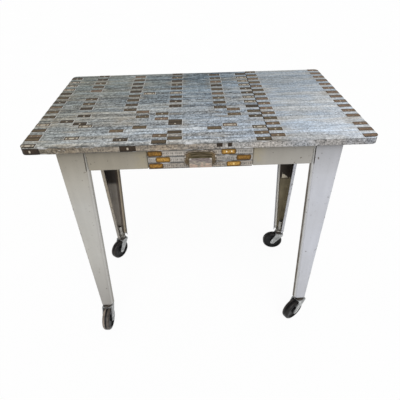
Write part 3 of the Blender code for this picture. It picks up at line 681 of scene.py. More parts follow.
def leg_border(finish, place, name, near, far):
    """A mask for a strip of a leg's wall, between two distances from its free edge, which leans."""
    low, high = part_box(name)
    (corner_x, _), _ = leg_corner(name)
    x, _, z = finish.parts(place)
    width = finish.step(z, low.z, high.z, WALL_AT_FOOT, WALL_AT_TOP)
    off = finish.minus(width, finish.apart(x, corner_x))
    return finish.product(finish.above(off, near), finish.below(off, far))


def scrap(finish, place):
    """A mask for a pale patch with a ragged slanting top."""
    x, _, z = finish.parts(place)
    ragged = finish.total(z, finish.swing(finish.noise(place, 160.0, 3.0), PATCH_RAGGED))
    top = finish.step(x, PATCH_LEFT, PATCH_RIGHT, PATCH_FOOT + PATCH_HEIGHT, PATCH_FOOT)
    return finish.product(finish.below(ragged, top), finish.above(z, PATCH_FOOT), finish.above(x, PATCH_LEFT))


def leg_inside(finish, place, name):
    """A mask for the bare inner sides of a folded leg's walls. Its lips are enamelled all round."""
    corners, signs = leg_corner(name)
    faces = []
    for axis, value in enumerate(finish.parts(place)[:2]):
        inward = Vector((0, 0, 0))
        inward[axis] = -signs[axis]
        inner = finish.above(finish.facing(inward), 0.5)
        faces.append(finish.product(inner, finish.below(finish.apart(value, corners[axis]), WALL_DEPTH)))
    return finish.most(*faces)


def leg_steel(finish, place, leg):
    """The steel inside a leg, darkened above by a painted shadow, with a pale patch in one leg and on the
    rear legs a pale painted edge, lightened as painted light, with a strip of painted shadow beside it.
    """
    _, _, z = finish.parts(place)
    rust = finish.noise(place, (30.0, 30.0, 12.0), 4.0, 0.6)
    dark, middle, bright = LEG_STEEL.get(leg, PLAIN_STEEL)
    colour = finish.ramp(rust, (0.32, *dark), (0.52, *middle), (0.70, *bright))
    # Painted shadow of the apron and the top over the upper part of the inside
    upper_shadow = finish.step(z, SHADOW_LINE - 0.006, SHADOW_LINE + 0.006, 0.0, 0.95)
    colour = finish.mix(upper_shadow, colour, paint(34, 25, 18))
    if leg == PATCH_LEG:
        colour = finish.mix(finish.product(scrap(finish, place), 0.9), colour, paint(240, 230, 208))
    if leg in LIT_BORDER_PAINT:
        # A brown strip of painted shadow beside the painted edge
        brown = leg_border(finish, place, leg, PAINTED_BORDER, PAINTED_BORDER + SHADOW_BORDER[leg])
        colour = finish.mix(finish.product(brown, 0.7), colour, paint(62, 48, 34))
        # The painted edge, paler than the enamel as painted light in the shade inside the leg
        painted = leg_border(finish, place, leg, -PAINTED_BORDER, PAINTED_BORDER)
        colour = finish.mix(finish.product(painted, 0.9), colour, paint(*LIT_BORDER_PAINT[leg]))
    return colour


def metal_finish(name, tones, metallic, rough, scale, rust):
    """Worn metal with mottled plating, fine scratches, rubbed edges and rust in patches."""
    finish = Finish(name)
    dark, middle, bright = tones
    place = finish.place()
    mottle = finish.noise(place, scale, 5.0, 0.6)
    scratch = finish.noise(place, (90.0, 900.0, 900.0), 2.0)
    finish.colour = finish.ramp(mottle, (0.32, *dark), (0.50, *middle), (0.68, *bright))
    spots = finish.noise(place, scale * 0.7, 6.0, 0.7)
    finish.coat((92, 66, 44), finish.step(spots, 0.54, 0.66, 0.0, rust))
    finish.coat(bright, finish.edges(0.0012), 0.5)
    level = finish.total(mottle, finish.product(scratch, 0.4))
    roughness = finish.step(level, 0.4, 1.0, rough, rough + 0.25)
    return finish.done(roughness, finish.bump(level, 0.0003, 0.25), metallic)


def ink_finish():
    """Worn black print on the drawer's rules."""
    finish = Finish("scale_ink")
    wear = finish.noise(finish.place(), 260.0, 3.0, 0.6)
    finish.colour = finish.ramp(wear, (0.35, 36, 33, 30), (0.58, 58, 53, 48), (0.74, 110, 102, 96))
    return finish.worn(wear, (0.5, 0.7), (0.0002, 0.3))


def hood_finish():
    """The hood's slope: dark olive plating with painted highlights along its two pressed ridges and rubbed
    brown sides.
    """
    finish = Finish("hood_metal")
    across, _, depth = finish.parts(finish.attribute("along"))
    cloud = finish.noise(finish.place(), (70.0, 260.0, 260.0), 4.0, 0.6)
    finish.colour = finish.ramp(cloud, (0.32, 52, 45, 30), (0.50, 74, 66, 46), (0.70, 98, 88, 68))
    # Painted highlights along the pressed ridges
    for place, half in RIDGES:
        finish.coat((126, 110, 94), finish.step(finish.apart(depth, place), half, half * 0.3, 0.0, 0.5))
    side = finish.step(finish.size(across), 0.0215, 0.0290)
    finish.coat((132, 112, 84), side, finish.step(cloud, 0.38, 0.60, 0.2, 0.9))
    return finish.worn(cloud, (0.34, 0.5), (0.0003, 0.3), specular=0.3)


def hood_front_finish():
    """The hood's front: grey-pink metal with painted wavy pale reflections near its foot and painted
    highlights on its top corners.
    """
    finish = Finish("hood_front")
    across, height, _ = finish.parts(finish.attribute("along"))
    wave = finish.noise(finish.place(), (95.0, 60.0, 240.0), 4.0, 0.55)
    level = finish.total(wave, finish.step(height, 0.004, 0.022, 0.20, -0.12))
    stops = ((0.30, 94, 84, 82), (0.46, 122, 111, 108), (0.58, 146, 140, 126), (0.72, 196, 170, 154))
    finish.colour = finish.ramp(level, *stops)
    # Painted highlights on the top corners
    aside = finish.step(finish.size(across), 0.0195, 0.0235)
    finish.coat((206, 200, 192), aside, finish.step(height, 0.0185, 0.0225), 0.75)
    return finish.worn(wave, (0.30, 0.45), (0.0004, 0.4), specular=0.4)


def flange_finish():
    """The pull's cast flange: pale worn plating, pitted and dark in the hollows."""
    finish = Finish("flange_metal")
    place = finish.place()
    pits = finish.noise(place, 330.0, 3.0, 0.6)
    cloud = finish.noise(place, 90.0, 3.0)
    stops = ((0.34, 44, 36, 30), (0.46, 112, 101, 90), (0.60, 160, 148, 134), (0.72, 222, 214, 202))
    finish.colour = finish.ramp(pits, *stops)
    finish.coat((104, 90, 68), finish.step(cloud, 0.45, 0.65, 0.0, 0.5))
    return finish.worn(pits, (0.6, 0.36), (0.0008, 0.6), metallic=0.3)


def rubber_finish():
    """Black rubber with a faint sheen in rings, dusty and scuffed on the tread."""
    finish = Finish("rubber")
    along = finish.attribute("along")
    _, side, out = finish.parts(along)
    dustiness, _, _ = finish.parts(finish.attribute("tone"))
    dust = finish.noise(finish.place(), 60.0, 3.0, 0.5)
    rings = finish.noise(along, (0.3, 60.0, 420.0), 2.0)
    level = finish.total(dust, finish.swing(rings, 0.5))
    finish.colour = finish.ramp(level, (0.34, 11, 11, 12), (0.60, 20, 20, 22), (0.78, 40, 39, 40))
    scuff = finish.noise(along, (3.0, 160.0, 90.0), 3.0)
    finish.coat(
        (140, 130, 120),
        finish.step(finish.size(side), 0.0016, 0.0044),
        finish.step(out, 0.0318, 0.0350),
        finish.step(scuff, 0.36, 0.60, 0.35, 0.95),
        finish.step(side, -0.002, 0.002, 1.0, 0.4),
        dustiness,
    )
    return finish.worn(level, (0.30, 0.45), (0.0002, 0.2), specular=0.18)


def wood_finish():
    """The board's raw wood, with long grain and dirt."""
    finish = Finish("board_wood")
    place = finish.place()
    grain = finish.noise(place, (9.0, 160.0, 160.0), 6.0, 0.6)
    dirt = finish.step(finish.noise(place, 11.0, 4.0), 0.45, 0.70, 0.0, 0.5)
    finish.colour = finish.ramp(grain, (0.32, 88, 64, 42), (0.52, 128, 98, 68), (0.70, 156, 126, 92))
    finish.coat((70, 58, 46), dirt)
    return finish.worn(grain, (0.65, 0.85), (0.0006, 0.4))


# Pieces


class Piece:
    """A mesh put together from outlines, with each part's own place 'along' it and its 'tone'."""

    def __init__(self, turn=None):
        self.turn = turn or Matrix()
        self.points, self.faces, self.along, self.tones, self.slots = [], [], [], [], []

    def ring(self, points, coords, tone):
        """Adds a closed ring of points and returns their numbers."""
        start = len(self.points)
        self.points += [self.turn @ Vector(point) for point in points]
        self.along += coords
        self.tones += [(*tone, 1.0)] * len(points)
        return list(range(start, start + len(points)))

    def skin(self, rings, caps=True):
        """Joins rings of equal length with faces, and closes the first and the last."""
        faces = []
        for low, high in zip(rings, rings[1:]):
            count = len(low)
            faces += [(low[i], low[(i + 1) % count], high[(i + 1) % count], high[i]) for i in range(count)]
        if caps:
            faces += [tuple(reversed(rings[0])), tuple(rings[-1])]
        self.faces += faces
        self.slots += [0] * len(faces)

    def block(self, outline, levels, tone):
        """A flat block on a convex outline. Each level is a height and how far the outline is drawn in."""
        left = min(x for x, _ in outline)
        front = min(y for _, y in outline)
        rings = []
        for height, drawn in levels:
            flat = drawn_in(outline, drawn)
            coords = [(x - left, y - front, noise_layer(tone)) for x, y in flat]
            rings.append(self.ring([(x, y, height) for x, y in flat], coords, tone))
        self.skin(rings)

    def object(self, name, materials, body, slot, replaces=(), smooth=0.0):
        """Makes the mesh an object, rounded up to an angle, that rides on a body in place of some nodes."""
        mesh = bpy.data.meshes.new(name)
        mesh.from_pydata(self.points, [], self.faces)
        bm = bmesh.new()
        bm.from_mesh(mesh)
        bmesh.ops.recalc_face_normals(bm, faces=bm.faces)
        bm.to_mesh(mesh)
        bm.free()
        along = mesh.attributes.new("along", "FLOAT_VECTOR", "POINT")
        along.data.foreach_set("vector", [value for point in self.along for value in point])
        tone = mesh.attributes.new("tone", "FLOAT_COLOR", "POINT")
        tone.data.foreach_set("color", [value for point in self.tones for value in point])
        for material in materials:
            mesh.materials.append(material)
        mesh.polygons.foreach_set("material_index", self.slots)
        mesh.validate()
        mesh.update()
        if smooth:
            mesh.shade_smooth()
            mesh.set_sharp_from_angle(angle=math.radians(smooth))
        obj = bpy.data.objects.new(name, mesh)
        bpy.context.scene.collection.objects.link(obj)
        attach(obj, body)
        if replaces:
            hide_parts(*replaces)
        return obj


def noise_layer(tone):
    """The third coordinate of a part in the noise, so that parts with different tones look different."""
    return tone[0] * 7.0 + tone[1] * 13.0


def drawn_in(outline, distance):
    """A convex outline, running anticlockwise, drawn in by a distance on every side."""
    if not distance:
        return [tuple(point) for point in outline]
    count = len(outline)
    moved = []
    for i in range(count):
        before, here, after = (Vector(outline[(i + k) % count]) for k in (-1, 0, 1))
        first = (here - before).normalized()
        second = (after - here).normalized()
        bisector = Vector((-first.y - second.y, first.x + second.x))
        moved.append(tuple(here + bisector * distance / (1 + first.dot(second))))
    return moved


def clipped(outline, rectangle):
    """The part of a convex outline that lies in a rectangle (x0, x1, y0, y1)."""
    x0, x1, y0, y1 = rectangle
    for axis, limit, sign in ((0, x0, 1), (0, x1, -1), (1, y0, 1), (1, y1, -1)):
        kept = []
        for first, second in zip(outline, outline[1:] + outline[:1]):
            near = (first[axis] - limit) * sign
            far = (second[axis] - limit) * sign
            if near >= 0:
                kept.append(first)
            if near * far < 0:
                share = near / (near - far)
                kept.append(tuple(a + (b - a) * share for a, b in zip(first, second)))
        outline = kept
    return [p for p, q in zip(outline, outline[1:] + outline[:1]) if (Vector(p) - Vector(q)).length > 1e-6]


def rounded_outline(rectangle, radius, steps):
    """A rectangle with rounded corners, anticlockwise from the middle of its right side."""
    x0, x1, y0, y1 = drawn_back(rectangle, radius)
    points = []
    for corner, start in (((x1, y1), 0), ((x0, y1), 90), ((x0, y0), 180), ((x1, y0), 270)):
        for step in range(steps + 1):
            angle = math.radians(start + 90 * step / steps)
            points.append(tuple(Vector(corner) + radius * Vector((math.cos(angle), math.sin(angle)))))
    return points


def drawn_back(rectangle, distance):
    x0, x1, y0, y1 = rectangle
    return (x0 + distance, x1 - distance, y0 + distance, y1 - distance)


def islands(node, low, turn=None):
    """Rectangles round the connected faces of a node that look up in the turned frame from above a height."""
    back = (turn or Matrix()).inverted()
    mesh = NODES[node].data
    points = [back @ vertex.co for vertex in mesh.vertices]
    joined = {}

    def root(key):
        while joined[key] != key:
            key = joined[key]
        return key

    for face in mesh.polygons:
        corners = [points[i] for i in face.vertices]
        if (back.to_3x3() @ face.normal).z > 0.9 and min(corner.z for corner in corners) > low:
            keys = [(round(corner.x, 5), round(corner.y, 5)) for corner in corners]
            for key in keys:
                joined.setdefault(key, key)
            for key in keys[1:]:
                joined[root(key)] = root(keys[0])
    groups = defaultdict(list)
    for key in joined:
        groups[root(key)].append(key)
    return [
        (min(x for x, _ in keys), max(x for x, _ in keys), min(y for _, y in keys), max(y for _, y in keys))
        for keys in groups.values()
    ]


def rectangle_outline(x0, x1, y0, y1):
    return [(x0, y0), (x1, y0), (x1, y1), (x0, y1)]


def chamfered_outline(x0, x1, y0, y1, cut):
    """A rectangle with its corners cut off, anticlockwise."""
    low = [(x0, y0 + cut), (x0 + cut, y0), (x1 - cut, y0), (x1, y0 + cut)]
    return low + [(x1, y1 - cut), (x1 - cut, y1), (x0 + cut, y1), (x0, y1 - cut)]


def circle_outline(cx, cy, radius, steps):
    angles = [math.tau * n / steps for n in range(steps)]
    return [(cx + radius * math.cos(angle), cy + radius * math.sin(angle)) for angle in angles]


def random_tone():
    return (RNG.random(), RNG.random(), RNG.random())


def random_pins():
    return RNG.choice(PIN_CHOICES)


def node_top(node, turn=None):
    """Height of a node's highest point in the turned frame."""
    back = (turn or Matrix()).inverted()
    return max((back @ vertex.co).z for vertex in NODES[node].data.vertices)


def plate_places(node, turn=None):
    """Rectangles round the raised plates of a node."""
    return islands(node, node_top(node, turn) - PLATE_SLACK, turn)


def section_places(node, turn=None):
    """Rectangles round the sections of a node, which lie lower than its plates."""
    return islands(node, node_top(node, turn) - PLATE_HEIGHT - SECTION_SLACK, turn)


def node_bottom(node, turn=None):
    back = (turn or Matrix()).inverted()
    return min((back @ vertex.co).z for vertex in NODES[node].data.vertices)


def add_rivets(piece, rectangle, height, places, radius):
    """Low domed heads on a plate, at shares of its length."""
    x0, x1, y0, y1 = rectangle
    for share in places:
        middle = (y0 + y1) / 2 + RNG.uniform(-RIVET_STRAY, RIVET_STRAY)
        outline = circle_outline(x0 + (x1 - x0) * share, middle, radius, RIVET_STEPS)
        piece.block(outline, [(height + up, drawn) for up, drawn in RIVET_LEVELS], random_tone())


def plated_rule(
    node, turn, outline, pieces, plate_tone, pins, seam=None, rivet=RIVET_RADIUS, chamfer=0.0, shifts=None
):
    """Makes one node's sections as a new piece, and adds its plates, rims and rivets to the shared pieces."""
    sections, plates, rims, rivets = pieces
    surface = node_top(node, turn) - PLATE_HEIGHT
    bottom = node_bottom(node, turn)

    def cut(rectangle):
        """A rectangle as an outline, cut off by the rounded corners of the top."""
        return clipped(outline, rectangle) if outline else rectangle_outline(*rectangle)

    for rectangle in section_places(node, turn):
        height = surface - RNG.uniform(0.0, SETTLE)
        slope = RULE_BEVEL * BEVEL_SHARE
        levels = ((bottom, 0.0), (height - RULE_BEVEL, 0.0), (height - slope, slope), (height, RULE_BEVEL))
        sections.block(cut(kept_off(rectangle, seam)), levels, random_tone())
    raised = [kept_off(rectangle, seam) for rectangle in plate_places(node, turn)]
    for rectangle in raised:
        if shifts:
            rectangle = moved_along(rectangle, next(shifts))
        x0, x1, y0, y1 = rectangle
        paired = any(0 < y0 - other[3] < PAIR_GAP and abs(x0 - other[0]) < RULE_BEVEL for other in raised)
        around = (x0 - RIM_LEFT, x1 + RIM_RIGHT, y0 if paired else y0 - RIM_FRONT, y1 + RIM_BACK)
        spread = (x0, x1, y0 if paired else y0 - PLATE_SPREAD, y1 + PLATE_SPREAD)
        if rims:
            levels = ((surface - BURY, 0.0), (surface + RIM_STAND, 0.0))
            rims.block(cut(kept_off(around, seam)), levels, random_tone())
        shape = cut(kept_off(spread, seam)) if outline else chamfered_outline(*rectangle, chamfer)
        height = surface + PLATE_STAND
        levels = ((surface - BURY, 0.0), (height - PLATE_BEVEL, 0.0), (height, PLATE_BEVEL))
        plates.block(shape, levels, plate_tone(rectangle))
        add_rivets(rivets, rectangle, height, pins(), rivet)


def moved_along(rectangle, shift):
    x0, x1, y0, y1 = rectangle
    return (x0 + shift, x1 + shift, y0, y1)


def kept_off(rectangle, seam):
    """A rectangle whose end is drawn back where it meets the seam."""
    x0, x1, y0, y1 = rectangle
    if seam is not None and x0 < seam < x1 + SEAM_HALF and x1 - seam < SEAM_REACH:
        x1 = seam - SEAM_HALF
    if seam is not None and x0 - SEAM_HALF < seam < x1 and seam - x0 < SEAM_REACH:
        x0 = seam + SEAM_HALF
    return (x0, x1, y0, y1)


def side_path(outline, number):
    """The quarter of the top's outline that belongs to one side, from mid-corner to mid-corner."""
    stride = CORNER_STEPS + 1
    first = number * stride + CORNER_STEPS // 2
    return [Vector(outline[(first + n) % len(outline)]) for n in range(stride + 1)]


def path_between(path, start, end):
    """The points of a path between two lengths along it, with the length at each."""
    places = [0.0]
    for first, second in zip(path, path[1:]):
        places.append(places[-1] + (second - first).length)
    found = []
    for first, second, low, high in zip(path, path[1:], places, places[1:]):
        for length in (max(low, start), min(high, end)):
            if low <= length <= high and start <= length <= end:
                share = (length - low) / (high - low)
                if not found or length - found[-1][1] > 1e-6:
                    found.append((first.lerp(second, share), length))
    return found


def outward(stations, number):
    """The direction out of the top at one station of a path that runs anticlockwise."""
    before = stations[max(number - 1, 0)][0]
    after = stations[min(number + 1, len(stations) - 1)][0]
    run = (after - before).normalized()
    return Vector((run.y, -run.x))


def add_band(piece, stations, section, tone):
    """Sweeps a section, given as pairs of distance out of the outline and height, along a path."""
    rings = []
    base = min(height for _, height in section)
    start = stations[0][1]
    for number, (point, length) in enumerate(stations):
        out = outward(stations, number)
        ring = [(*(point + out * distance), height) for distance, height in section]
        coords = [(length - start, height - base, noise_layer(tone)) for _, height in section]
        rings.append(piece.ring(ring, coords, tone))
    piece.skin(rings)


def bar_section(inner, outer, low, high, bevel):
    """A rectangle whose two outer edges are bevelled."""
    return (
        (inner, low),
        (outer - bevel, low),
        (outer, low + bevel),
        (outer, high - bevel),
        (outer - bevel, high),
        (inner, high),
    )


def build_edges(outline):
    plates = Piece()
    for number, side in enumerate(("rear", "left", "front", "right")):
        node = f"edge_rule_{side}"
        low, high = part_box(node)[0].z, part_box(node)[1].z
        path = side_path(outline, number)
        total = sum((second - first).length for first, second in zip(path, path[1:]))
        rule = Piece()
        joints = [total / 2 + joint for joint in EDGE_JOINTS[side]]
        starts = [0.0] + [joint + EDGE_JOINT / 2 for joint in joints]
        ends = [joint - EDGE_JOINT / 2 for joint in joints] + [total]
        section = bar_section(-EDGE_INSET - EDGE_THICKNESS, -EDGE_INSET, low, high, RULE_BEVEL)
        for start, end in zip(starts, ends):
            add_band(rule, path_between(path, start, end), section, random_tone())
        rule.object(f"{node}_sections", [EDGE_PAINT], "frame", "rule_wood", [node])
        for left, right, tone, lift in EDGE_PLATES[side]:
            foot = low + max(EDGE_PLATE_MARGIN, (high - low) * lift)
            head = high - EDGE_PLATE_MARGIN
            section = bar_section(-EDGE_INSET - BURY, -EDGE_CLEAR, foot, head, EDGE_PLATE_BEVEL)
            start = max(total / 2 + left, EDGE_END)
            end = min(total / 2 + right, total - EDGE_END)
            add_band(plates, path_between(path, start, end), section, tone)
    plates.object("edge_plates", [EDGE_METAL], "frame", "steel")


UPRIGHT = Matrix.Rotation(math.pi / 2, 4, "X")


def build_drawer_rules():
    plates, rivets = Piece(UPRIGHT), Piece(UPRIGHT)
    moods = iter(BRASS_MOODS)
    pins = iter(BRASS_GLINT_PINS)
    shifts = iter(BRASS_SHIFTS)
    for name in ("drawer_rule_top", "drawer_rule_middle", "drawer_rule_bottom"):
        sections = Piece(UPRIGHT)
        plated_rule(
            name,
            UPRIGHT,
            None,
            (sections, plates, None, rivets),
            lambda _: next(moods),
            lambda: next(pins),
            rivet=BRASS_RIVET_RADIUS,
            chamfer=BRASS_CUT,
            shifts=shifts,
        )
        sections.object(f"{name}_section", [DRAWER_PAINT], "drawer", "rule_wood", [name])
        add_scale(name)
    plates.object("drawer_plates", [BRASS_PLATE], "drawer", "nickel")
    rivets.object("drawer_rivet_glints", [BRASS_RIVET_GLINT], "drawer", "nickel", smooth=50.0)


def figure_shapes():
    """The ten figures as flat shapes, each a list of points and a list of faces."""
    shapes = []
    for number in range(10):
        curve = bpy.data.curves.new("figure", "FONT")
        curve.body = str(number)
        curve.size = FIGURE_SIZE
        curve.align_x = "CENTER"
        curve.resolution_u = 2
        text = bpy.data.objects.new("figure", curve)
        bpy.context.scene.collection.objects.link(text)
        bpy.context.view_layer.update()
        mesh = text.evaluated_get(bpy.context.evaluated_depsgraph_get()).to_mesh()
        shapes.append(([tuple(v.co) for v in mesh.vertices], [tuple(p.vertices) for p in mesh.polygons]))
        bpy.data.objects.remove(text)
        bpy.data.curves.remove(curve)
    return shapes


def add_scale(node):
    """The printed scale of one drawer rule: figures every centimetre, and ticks along its lower edge."""
    low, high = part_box(node)
    scale = Piece(UPRIGHT)
    face = -low.y - PLATE_HEIGHT + PRINT_STAND
    base = (low.z + high.z) / 2 - FIGURE_SIZE * FIGURE_MIDDLE
    start = RNG.randrange(*FIRST_FIGURES)
    for number in range(int((high.x - low.x) / CENTIMETRE)):
        middle = low.x + FIGURE_START + number * CENTIMETRE
        for place, digit in enumerate(str(start + number)):
            points, faces = FIGURES[int(digit)]
            first = len(scale.points)
            left = middle + (place - 0.5) * FIGURE_SIZE * FIGURE_PITCH
            flat = [(left + x, base + y, face) for x, y, _ in points]
            scale.ring(flat, [(0.0, 0.0, 0.0)] * len(flat), PLAIN_TONE)
            scale.faces += [tuple(first + i for i in shape) for shape in faces]
            scale.slots += [0] * len(faces)
    for number in range(int((high.x - low.x) / TICK_PITCH) - 1):
        x = low.x + TICK_START + number * TICK_PITCH
        reach = TICK_LENGTH * (LONG_TICK if number % 2 else 1.0)
        outline = rectangle_outline(x - TICK_HALF, x + TICK_HALF, low.z + TICK_FOOT, low.z + reach)
        scale.block(outline, ((face - BURY, 0.0), (face, 0.0)), PLAIN_TONE)
    scale.object(f"{node}_scale", [SCALE_INK], "drawer", "rule_wood")


def pull_stations(half, height, reach):
    """The hood's arches from the wall to the front: half width, height, corner, depth and crown of each."""
    edge = PULL_FLANGE / 2
    stations = [(half + PULL_FLANGE, height + edge, PULL_CORNER + edge, PULL_SHEET, PULL_CROWN)]
    for out, up, corner, lift in PULL_FILLET:
        wide = half + PULL_SPLAY + out
        stations.append((wide, height + up, PULL_CORNER + corner, PULL_SHEET + lift, PULL_CROWN))
    slope_end = reach - PULL_BROW
    for step in range(SLOPE_STEPS + 1):
        share = step / SLOPE_STEPS
        y = SLOPE_START + (slope_end - SLOPE_START) * share
        ridge = sum(PULL_RIDGE * math.exp(-(((y - place) / width) ** 2)) for place, width in RIDGES)
        wide = half + PULL_SPLAY * (1 - share) ** SPLAY_POWER - PULL_TAPER * share
        corner = PULL_CORNER * (1 - share) + FRONT_CORNER * share
        stations.append((wide, height - PULL_DROP * share + ridge, corner, y, PULL_CROWN * (1 - share)))
    wide, tall = half - PULL_TAPER, height - PULL_DROP
    for angle in BROW_ANGLES:
        turn = math.radians(angle)
        drawn = PULL_BROW * BROW_DRAWN * (1 - math.cos(turn))
        y = slope_end + PULL_BROW * math.sin(turn) * BROW_REACH
        stations.append((wide - drawn, tall - drawn, FRONT_CORNER - drawn / 2, y, 0.0))
    inner = FRONT_CORNER * INNER_CORNER
    stations.append((wide - FRONT_CORNER, tall - FRONT_CORNER, inner, reach - FRONT_CLEAR, 0.0))
    return stations


def arch(half, height, corner, crown):
    """An arch from the left foot over a crowned top to the right foot, as points in x and z."""
    flat = half - corner
    points = [(-half, 0.0)]
    for centre, start in ((-flat, 180), (flat, 90)):
        for step in range(ARCH_STEPS + 1):
            angle = math.radians(start - 90 * step / ARCH_STEPS)
            points.append((centre + corner * math.cos(angle), height - corner + corner * math.sin(angle)))
        if centre < 0:
            points += [(-flat + 2 * flat * n / CROWN_STEPS, height) for n in range(1, CROWN_STEPS)]
    points.append((half, 0.0))
    return [(x, z * (1 - crown / height * (x / half) ** 2)) for x, z in points]


def build_pull():
    """The pressed hood as one sheet: flange, fillet, ridged slope, brow and a flat front."""
    low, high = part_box("drawer_pull")
    half = (high.x - low.x) / 2 - PULL_FLANGE
    stations = pull_stations(half, high.z - low.z - PULL_FLANGE / 2, high.y - low.y)
    pull = Piece()
    rings = []
    for wide, tall, corner, y, crown in stations:
        flat = arch(wide, tall, corner, crown)
        coords = [(x, z, y) for x, z in flat]
        rings.append(pull.ring([(x, high.y - y, low.z + z) for x, z in flat], coords, PLAIN_TONE))
    front_from = len(stations) - len(BROW_ANGLES)
    for number, (first, second) in enumerate(zip(rings, rings[1:])):
        slot = 2 if number < 1 else (1 if number >= front_from else 0)
        for i in range(len(first) - 1):
            pull.faces.append((first[i], second[i], second[i + 1], first[i + 1]))
            pull.slots.append(slot)
    pull.faces.append(tuple(rings[-1]))
    pull.slots.append(1)
    finishes = [HOOD_METAL, HOOD_FRONT, FLANGE_METAL]
    obj = pull.object("drawer_pull_hood", finishes, "drawer", "nickel", ["drawer_pull"], smooth=40.0)
    sheet = obj.modifiers.new("sheet", "SOLIDIFY")
    sheet.thickness = PULL_SHEET - SHEET_SLACK
    sheet.offset = -1.0


def build_pull_screws():
    low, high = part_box("drawer_pull")
    screws = Piece(UPRIGHT)
    face = -(high.y - PULL_SHEET)
    for side in (-1, 1):
        cx = side * (high.x - PULL_FLANGE * SCREW_INSET)
        outline = circle_outline(cx, low.z + (high.z - low.z) * 0.5, SCREW_RADIUS, SCREW_STEPS)
        screws.block(outline, [(face + up, drawn) for up, drawn in SCREW_LEVELS], random_tone())
    screws.object("pull_screws", [BRIGHT_SCREW], "drawer", "nickel", smooth=50.0)


def wheel_profile(radius, half, hub_half):
    """Half of the wheel's section as pairs of distance along the axle and radius, from bore to tread."""
    levels = {"hub": hub_half, "web": WEB_WIDTH / 2, "face": half}
    radii = {"bore": BORE_RADIUS, "hub": HUB_RADIUS, "rim": radius - RIM_DEPTH}
    points = [(levels[level] + out, radii[ring] + up) for level, out, ring, up in WHEEL_POINTS]
    start = radius - TREAD_ROUNDING
    for step in range(TREAD_STEPS + 1):
        angle = math.radians(90 * step / TREAD_STEPS)
        drawn = TREAD_ROUNDING * (1 - math.cos(angle))
        points.append((half - drawn, start + TREAD_ROUNDING * math.sin(angle)))
    return points


def build_wheels():
    joints = {joint["name"]: joint for joint in frame["joints"]}
    for corner in CORNERS:
        joint = joints[f"wheel_spin_{corner}"]
        node = f"caster_wheel_{corner}"
        centre = Vector(joint["pos_m"])
        axle = Vector(joint["axis"]).normalized()
        radius = centre.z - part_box(node)[0].z
        offsets = [vertex.co - centre for vertex in NODES[node].data.vertices]
        hub_half = max(abs(offset.dot(axle)) for offset in offsets)
        half = max(abs(offset.dot(axle)) for offset in offsets if offset.length > radius * RIM_SHARE)
        half_profile = wheel_profile(radius, half, hub_half)
        profile = half_profile + [(-along, out) for along, out in reversed(half_profile)]
        wheel = Piece()
        rings = []
        level = axle.cross(Vector((0, 0, 1)))
        for step in range(WHEEL_STEPS):
            angle = math.tau * step / WHEEL_STEPS
            spoke = Vector((0, 0, 1)) * math.cos(angle) + level * math.sin(angle)
            ring = [centre + axle * along + spoke * out for along, out in profile]
            coords = [(angle, along, out) for along, out in profile]
            rings.append(wheel.ring(ring, coords, (WHEEL_DUST[corner], 0.5, 0.5)))
        wheel.skin(rings + rings[:1], caps=False)
        wheel.object(f"{node}_turned", [RUBBER], f"wheel_{corner}", "rubber", [node], smooth=35.0)


def top_box():
    """Left, right, front and back of the rows of rules."""
    lows, highs = zip(*(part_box(name) for name in TOP_NODES))
    left, front = (min(low[axis] for low in lows) for axis in (0, 1))
    right, back = (max(high[axis] for high in highs) for axis in (0, 1))
    return (left, right, front, back)


def plate_columns():
    """Middles of the columns in which many rows have a plate."""
    counts = defaultdict(int)
    for name in TOP_NODES:
        for x0, x1, _, _ in plate_places(name):
            counts[round((x0 + x1) / 2, 2)] += 1
    return [middle for middle, count in counts.items() if count >= COLUMN_ROWS]


def row_middles():
    """Middles of the rows of rules, from the back to the front."""
    found = set()
    for name in TOP_NODES:
        found.update(round((y0 + y1) / 2, 4) for _, _, y0, y1 in section_places(name))
    return sorted(found, reverse=True)


def top_plate_tone(rectangle):
    """The mood of one plate: dark or brown, redder right of the seam, and pale where the photo shows it."""
    brown, pin, _ = random_tone()
    left, right, _, _ = top_box()
    x0, x1, y0, y1 = rectangle
    if x0 > right - RIGHT_BANK - SEAM_REACH:
        brown = 0.5 + brown / 2
    if x1 > right - PLATE_END:
        brown = 1.0
    row = min(range(len(ROW_MIDDLES)), key=lambda n: abs(ROW_MIDDLES[n] - (y0 + y1) / 2))
    rubbed = any(abs(x0 - left - place) < PLATE_END and row in rows for place, rows in RUBBED_ROWS.items())
    return (brown, pin, RUBBED if rubbed else UNRUBBED)


def build_top():
    box = top_box()
    outline = rounded_outline(box, CORNER_RADIUS, CORNER_STEPS)
    seam = box[1] - RIGHT_BANK
    plates, rims, rivets = Piece(), Piece(), Piece()
    for name in TOP_NODES:
        sections = Piece()
        plated_rule(name, None, outline, (sections, plates, rims, rivets), top_plate_tone, random_pins, seam)
        sections.object(f"{name}_sections", [RULE_PAINT], "frame", "rule_wood", [name])
    plates.object("top_plates", [PLATE_METAL], "frame", "steel")
    rims.object("top_plate_rims", [RIM_WOOD], "frame", "rule_wood")
    rivets.object("top_rivets", [PLATE_RIVET], "frame", "steel", smooth=50.0)
    return outline


# Main


